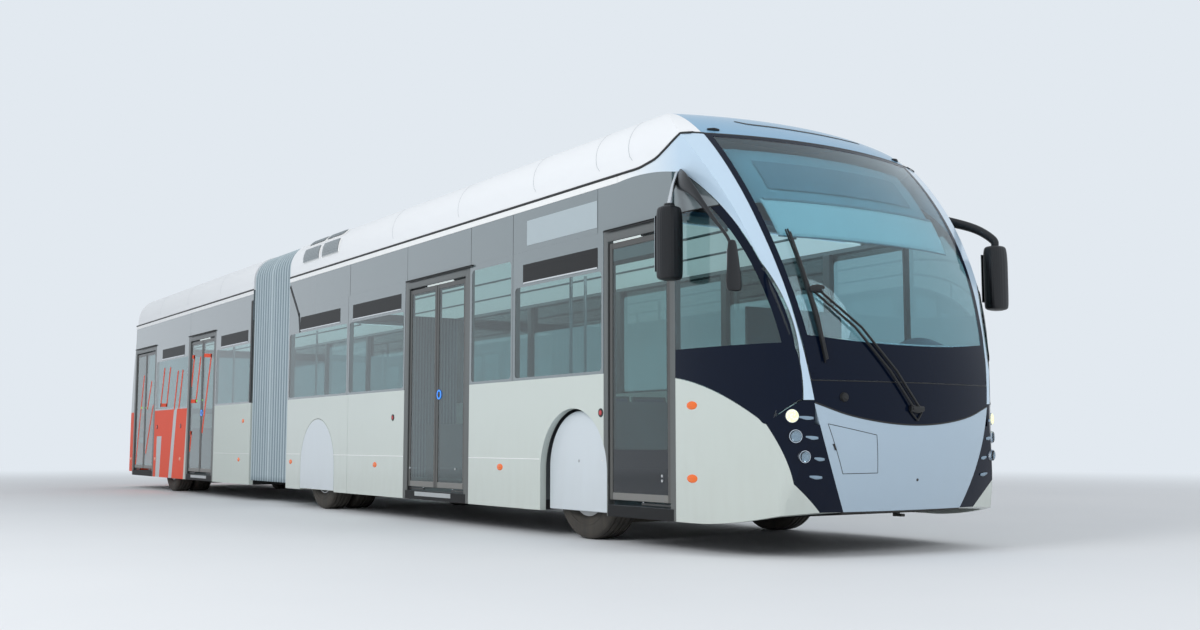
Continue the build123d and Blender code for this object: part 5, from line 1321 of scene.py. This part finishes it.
def on_shoulder(x, z, hand, lift):
    """Point on the rounded shoulder of the roof."""
    angle = asin(min(max((z - SHOULDER_Z) / SHOULDER_RADIUS, -1), 1))
    reach = SHOULDER_RADIUS + lift
    return Vector((x, hand * (SHOULDER_Y + reach * cos(angle)), SHOULDER_Z + reach * sin(angle)))


VENT_LEAN = -0.25
vent_frames, louvres = bmesh.new(), bmesh.new()
for hand in (-1, 1):
    for x0, x1, z0, z1, rows in (
        (-0.05, 0.54, 3.13, 3.33, 9), (0.62, 1.19, 3.13, 3.33, 9), (-0.09, 0.47, 3.36, 3.452, 5),
        (0.53, 1.12, 3.36, 3.452, 5),
    ):
        def border(u, v):
            rise = (z1 - z0) * v
            lift = 0.0 if min(u, 1 - u, v, 1 - v) < 0.02 else 0.01
            return on_shoulder(x0 + (x1 - x0) * u + VENT_LEAN * rise, z0 + rise, hand, lift)

        def slat(u, v):
            rise = 0.014 + (z1 - z0 - 0.028) * v
            x = x0 + 0.018 + (x1 - x0 - 0.036) * u + VENT_LEAN * rise
            return on_shoulder(x, z0 + rise, hand, 0.0115 + 0.006 * (1 - v * rows % 1))

        stretch_over(vent_frames, 24, 12, border)
        stretch_over(louvres, 4, 45, slat)
for shape in (vent_frames, louvres):
    outward(shape, (0.5, 0, 3.0))
louvre_grey = finish("louvre_grey", tint(150, 158, 162), 0.4, metal=0.3, dusty=0.15)
mount("roof_vent_frames", vent_frames, trim_white, "front_section", "roof_white", sharp=20)
mount("roof_vent_louvres", louvres, louvre_grey, "front_section", "upper_grey", sharp=20)

# Saloon: a pale ceiling whose panels glow as painted light, a grey partition behind the driver,
# steel grab poles, and dark plastic on the dashboard and steering wheel.
black_matte = finish("black_matte", tint(34, 36, 39), 0.5, dusty=0.05, grain_size=900, bump=0.2)
wear(black_matte, "dashboard", "steering_wheel")
STEEL = tint(198, 201, 204)
rail_steel = finish("rail_steel", STEEL, 0.24, metal=1, dusty=0.02)
tree = rail_steel.node_tree
on_panel = maths(tree, "GREATER_THAN", axes(tree)["X"], 7.2)
feed(tree, tree.nodes["Principled BSDF"], {
    "Base Color": mixed(tree, on_panel, STEEL, tint(112, 122, 128)),
    "Metallic": maths(tree, "SUBTRACT", 1, on_panel),
})
wear(rail_steel, "front_handrails", "rear_handrails")
# Painted light: the ceiling panels glow to brighten the saloon seen through the glass.
ceiling_painted_glow = lit("ceiling_painted_glow", tint(225, 234, 234), 0.95)
lining_grey = finish("lining_grey", tint(150, 160, 164), 0.6, dusty=0, grain_size=500)
for section, x0, x1 in (("front", -0.5, 7.6), ("rear", -8.6, -2.12)):
    body = section + "_section"
    panels, trims = bmesh.new(), bmesh.new()
    for y0, y1 in ((-1.17, -0.4), (-0.36, 0.36), (0.4, 1.17)):
        slab(panels, (x0, y0, 2.587), (x1, y1, 2.596))
    for y in (-0.38, 0.38):
        slab(trims, (x0, y - 0.02, 2.575), (x1, y + 0.02, 2.597))
    eased(mount(section + "_ceiling_panels", panels, ceiling_painted_glow, body, "roof_white"), 0.003, 2)
    eased(mount(section + "_ceiling_rails", trims, lining_grey, body, "upper_grey"), 0.003, 2)


# Behind the windscreen: the blank route display over the driver's head in a grey surround, and a
# roller blind of pale woven screen cloth drawn part of the way down below it.
def hang(name, columns, rows, place, centre, material, slot):
    """A sheet behind the windscreen, facing forwards."""
    shape = bmesh.new()
    stretch_over(shape, columns, rows, place)
    outward(shape, centre)
    return mount(name, shape, material, "front_section", slot, sharp=60)


header_grey = finish("header_grey", tint(156, 178, 184), 0.55, dusty=0, grain_size=500)
display_dark = finish("display_dark", tint(128, 148, 156), 0.25, dusty=0)
blind_cloth = finish("blind_cloth", tint(222, 232, 230), 0.9, dusty=0, grain_size=800, bump=0.3)
hang(
    "route_display_case", 40, 10,
    lambda u, v: on_front((u - 0.5) * (1.94 + 0.1 * (1 - v)), 3.15 - v * 0.5, -0.1),
    (7.5, 0, 2.8), header_grey, "upper_grey",
)
hang(
    "route_display_window", 40, 4, lambda u, v: on_front((u - 0.5) * 1.56, 3.04 - v * 0.26, -0.092),
    (7.5, 0, 2.8), display_dark, "black_gloss",
)
sun_blind = thicken(hang(
    "sun_blind", 60, 8, lambda u, v: on_front((u - 0.5) * (1.86 - 0.06 * v), 2.655 - v * 0.305, -0.06),
    (7.5, 0, 2.5), blind_cloth, "roof_white",
), 0.001)
rods = bmesh.new()
for z, thick in ((2.655, 0.024), (2.348, 0.012)):
    bar(rods, [on_front(y / 10, z, -0.062) for y in range(-9, 10)], [(thick, thick)] * 2, 36, 12, UP)
rods_piece = mount("sun_blind_rods", rods, lining_grey, "front_section", "upper_grey", sharp=60)


# Cowl over the instruments: a grey padded moulding from the dashboard's top to the windscreen,
# with a hump in front of the steering wheel and a pale edge along the glass.
def cowl_place(u, v):
    y = (u - 0.5) * 1.76
    spot = on_front(y, 1.5, -0.05).lerp(Vector((8.4, y * 0.93, 1.31)), v)
    hump = 0.13 * cos(pi / 2 * min(abs(y - 0.52) / 0.4, 1)) ** 2 * sin(pi * min(v * 1.1, 1))
    return spot + Vector((0, 0, 0.09 * sin(pi * v) + hump))


cowl_grey = finish("cowl_grey", tint(96, 112, 122), 0.5, dusty=0.05, grain_size=900, bump=0.15)
edge_pale = finish("edge_pale", tint(206, 214, 216), 0.45, dusty=0.05)
thicken(hang("instrument_cowl", 64, 20, cowl_place, (8.6, 0, 0.9), cowl_grey, "black_matte"), 0.012)
lip = bmesh.new()
places = [on_front(y / 10, 1.535 + 0.03 * (y / 9) ** 2, -0.04) for y in range(-8, 9)]
bar(lip, places, [(0.016, 0.022)] * 2, 40, 12, UP, 0.6)
mount("cowl_edge", lip, edge_pale, "front_section", "roof_white", sharp=60)


# Seats: a moulded grey shell on a steel pedestal, with a seat pad and a back pad clipped into it.
# The pads are foam under woven cloth, piped round their edges, and the backs have sewn channels.
def as_it_stands(piece):
    """A mesh of an object with its modifiers worked in."""
    return bpy.data.meshes.new_from_object(piece.evaluated_get(bpy.context.evaluated_depsgraph_get()))


def pad_mesh(long, wide, thick, channels):
    """One pad lying on z 0: a soft block swelled by cloth pressure, then sewn."""
    block = bmesh.new()
    slab(block, (-long / 2, -wide / 2, 0), (long / 2, wide / 2, thick))
    mesh = bpy.data.meshes.new("pad")
    block.to_mesh(mesh)
    block.free()
    pad = shown("pad", mesh)
    corners = pad.modifiers.new("corners", "BEVEL")
    corners.width = 0.014
    corners.segments = 4
    remesh = pad.modifiers.new("remesh", "REMESH")
    remesh.mode = "VOXEL"
    remesh.voxel_size = 0.0125
    bpy.context.view_layer.update()
    fine = as_it_stands(pad)
    pad.modifiers.clear()
    pad.data = fine
    start = [vert.co.copy() for vert in fine.vertices]
    base = pad.vertex_groups.new(name="base")
    base.add([vert.index for vert in fine.vertices if vert.co.z < 0.008], 1, "REPLACE")
    cloth = pad.modifiers.new("swell", "CLOTH").settings
    cloth.vertex_group_mass = "base"
    cloth.use_pressure = True
    cloth.uniform_pressure_force = 4
    cloth.effector_weights.gravity = 0
    for step in range(1, 21):
        bpy.context.scene.frame_set(step)
    swelled = as_it_stands(pad)
    pad.modifiers.clear()
    pad.data = swelled
    bpy.context.scene.frame_set(1)
    most = 0.009
    for vert, before in zip(pad.data.vertices, start):
        moved = vert.co - before
        if moved.length > most:
            vert.co = before + moved.normalized() * most
        if before.z > thick / 2:
            for channel in channels:
                vert.co.z -= 0.009 * 2.718 ** (-((before.x - channel) / 0.012) ** 2)
    done = pad.data
    bpy.data.objects.remove(pad)
    return done


CLOTH_BLUE = tint(46, 62, 92)
seat_cloth = finish("seat_cloth", CLOTH_BLUE, 0.95, dusty=0)
tree = seat_cloth.node_tree
flecks = node(tree, "TexVoronoi", {"Vector": own_place(tree), "Scale": 55})
bright_flecks = maths(tree, "LESS_THAN", flecks.outputs["Distance"], 0.2)
weave = node(tree, "TexWave", {"Vector": own_place(tree), "Scale": 160})
raised = node(tree, "Bump", {"Strength": 0.3, "Distance": 0.001, "Height": weave.outputs["Fac"]})
feed(tree, tree.nodes["Principled BSDF"], {
    "Base Color": mixed(tree, bright_flecks, CLOTH_BLUE, tint(96, 122, 150)),
    "Normal": raised.outputs["Normal"], "Sheen Weight": 0.4,
})
shell_grey = finish("shell_grey", tint(70, 74, 80), 0.4, dusty=0.03, grain_size=900, bump=0.15)
SHELL = [
    (0.22, 0.38), (0.22, 0.41), (-0.184, 0.4), (-0.319, 0.993), (-0.35, 0.99), (-0.23, 0.37), (-0.06, 0.36),
    (-0.06, 0.0), (0.06, 0.0), (0.06, 0.36),
]
SEAT_LENGTH = 0.37
BACK_LENGTH = 0.52
cushion = pad_mesh(SEAT_LENGTH, 0.4, 0.028, ())
backrest = pad_mesh(BACK_LENGTH, 0.4, 0.028, (-0.12, 0.02, 0.16))
# X and Y of each seat, the floor's height under it, and its share of the usual width
SEATS = {
    "front": [(x, y, 0.315, 1.0) for x in (4.9, 4.1, 3.3, 2.5) for y in (0.96, 0.48)]
    + [(7.68, 0.56, 0.5, 1.14)],
    "rear": [(x, y, 0.315, 1.0) for x in (-2.7, -3.5, -4.3, -5.1, -7.7, -8.5) for y in (0.96, 0.48)]
    + [(-2.7, -0.96, 0.315, 1.0), (-2.7, -0.48, 0.315, 1.0)],
}
for section, places in SEATS.items():
    shells, pads, piping = (bmesh.new() for part in range(3))
    for x, y, z, wide in places:
        outline = [shells.verts.new((x + a, y - 0.22 * wide, z + b)) for a, b in SHELL]
        for vert in grow(shells, [shells.faces.new(outline)]):
            vert.co.y += 0.44 * wide
        for form, foot, lean, long in (
            (cushion, (x + 0.026, y, z + 0.4055), radians(-1.4), SEAT_LENGTH),
            (backrest, (x - 0.2515, y, z + 0.722), radians(-102.8), BACK_LENGTH),
        ):
            spot = Matrix.Translation(foot) @ Matrix.Rotation(lean, 4, "Y") @ Matrix.Diagonal((1, wide, 1, 1))
            before = len(pads.verts)
            pads.from_mesh(form)
            pads.verts.ensure_lookup_table()
            bmesh.ops.transform(pads, matrix=spot, verts=pads.verts[before:])
            loop = []
            for a, b in round_steps(0, 0, 1, 48):
                reach = (abs(a) ** 8 + abs(b) ** 8) ** -0.125
                loop.append(spot @ Vector((a * reach * (long / 2 - 0.008), b * reach * 0.192, 0.025)))
            bar(piping, loop + loop[:1], [(0.006, 0.006)] * 2, 96, 6, spot.to_3x3() @ Vector(UP))
    bmesh.ops.recalc_face_normals(shells, faces=shells.faces)
    body = section + "_section"
    shells_piece = mount(
        section + "_seat_shells", shells, shell_grey, body, "seat_cloth", section + "_seats"
    )
    eased(shells_piece, 0.008, 2)
    soft = mount(section + "_seat_pads", pads, seat_cloth, body, "seat_cloth", sharp=80)
    mount(section + "_seat_piping", piping, shell_grey, body, "black_matte", sharp=80)

# Tail: lamp clusters of red glass with two round red chambers, an amber one and a white one,
# set into the end wall. The tail isn't in view in the photograph.
lamp_red = finish("lamp_red", tint(150, 16, 16), 0.14, coat=1, dusty=0.1)
tree = lamp_red.node_tree
place = axes(tree)
flat = node(tree, "CombineXYZ", {"X": maths(tree, "ABSOLUTE", place["Y"]), "Y": place["Z"]}).outputs[0]
colour = tree.nodes["Group"].outputs["Color"]
RED_GLASS = tint(178, 22, 20)
for height, chamber in (
    (1.25, RED_GLASS), (1.12, tint(226, 120, 26)), (0.99, RED_GLASS), (0.87, tint(214, 216, 214)),
):
    reach = node(tree, "VectorMath", [flat, (1.03, height, 0)], operation="DISTANCE").outputs["Value"]
    colour = mixed(tree, maths(tree, "LESS_THAN", reach, 0.05), colour, chamber)
feed(tree, tree.nodes["Principled BSDF"], {"Base Color": colour})
wear(lamp_red, "tail_lamps")
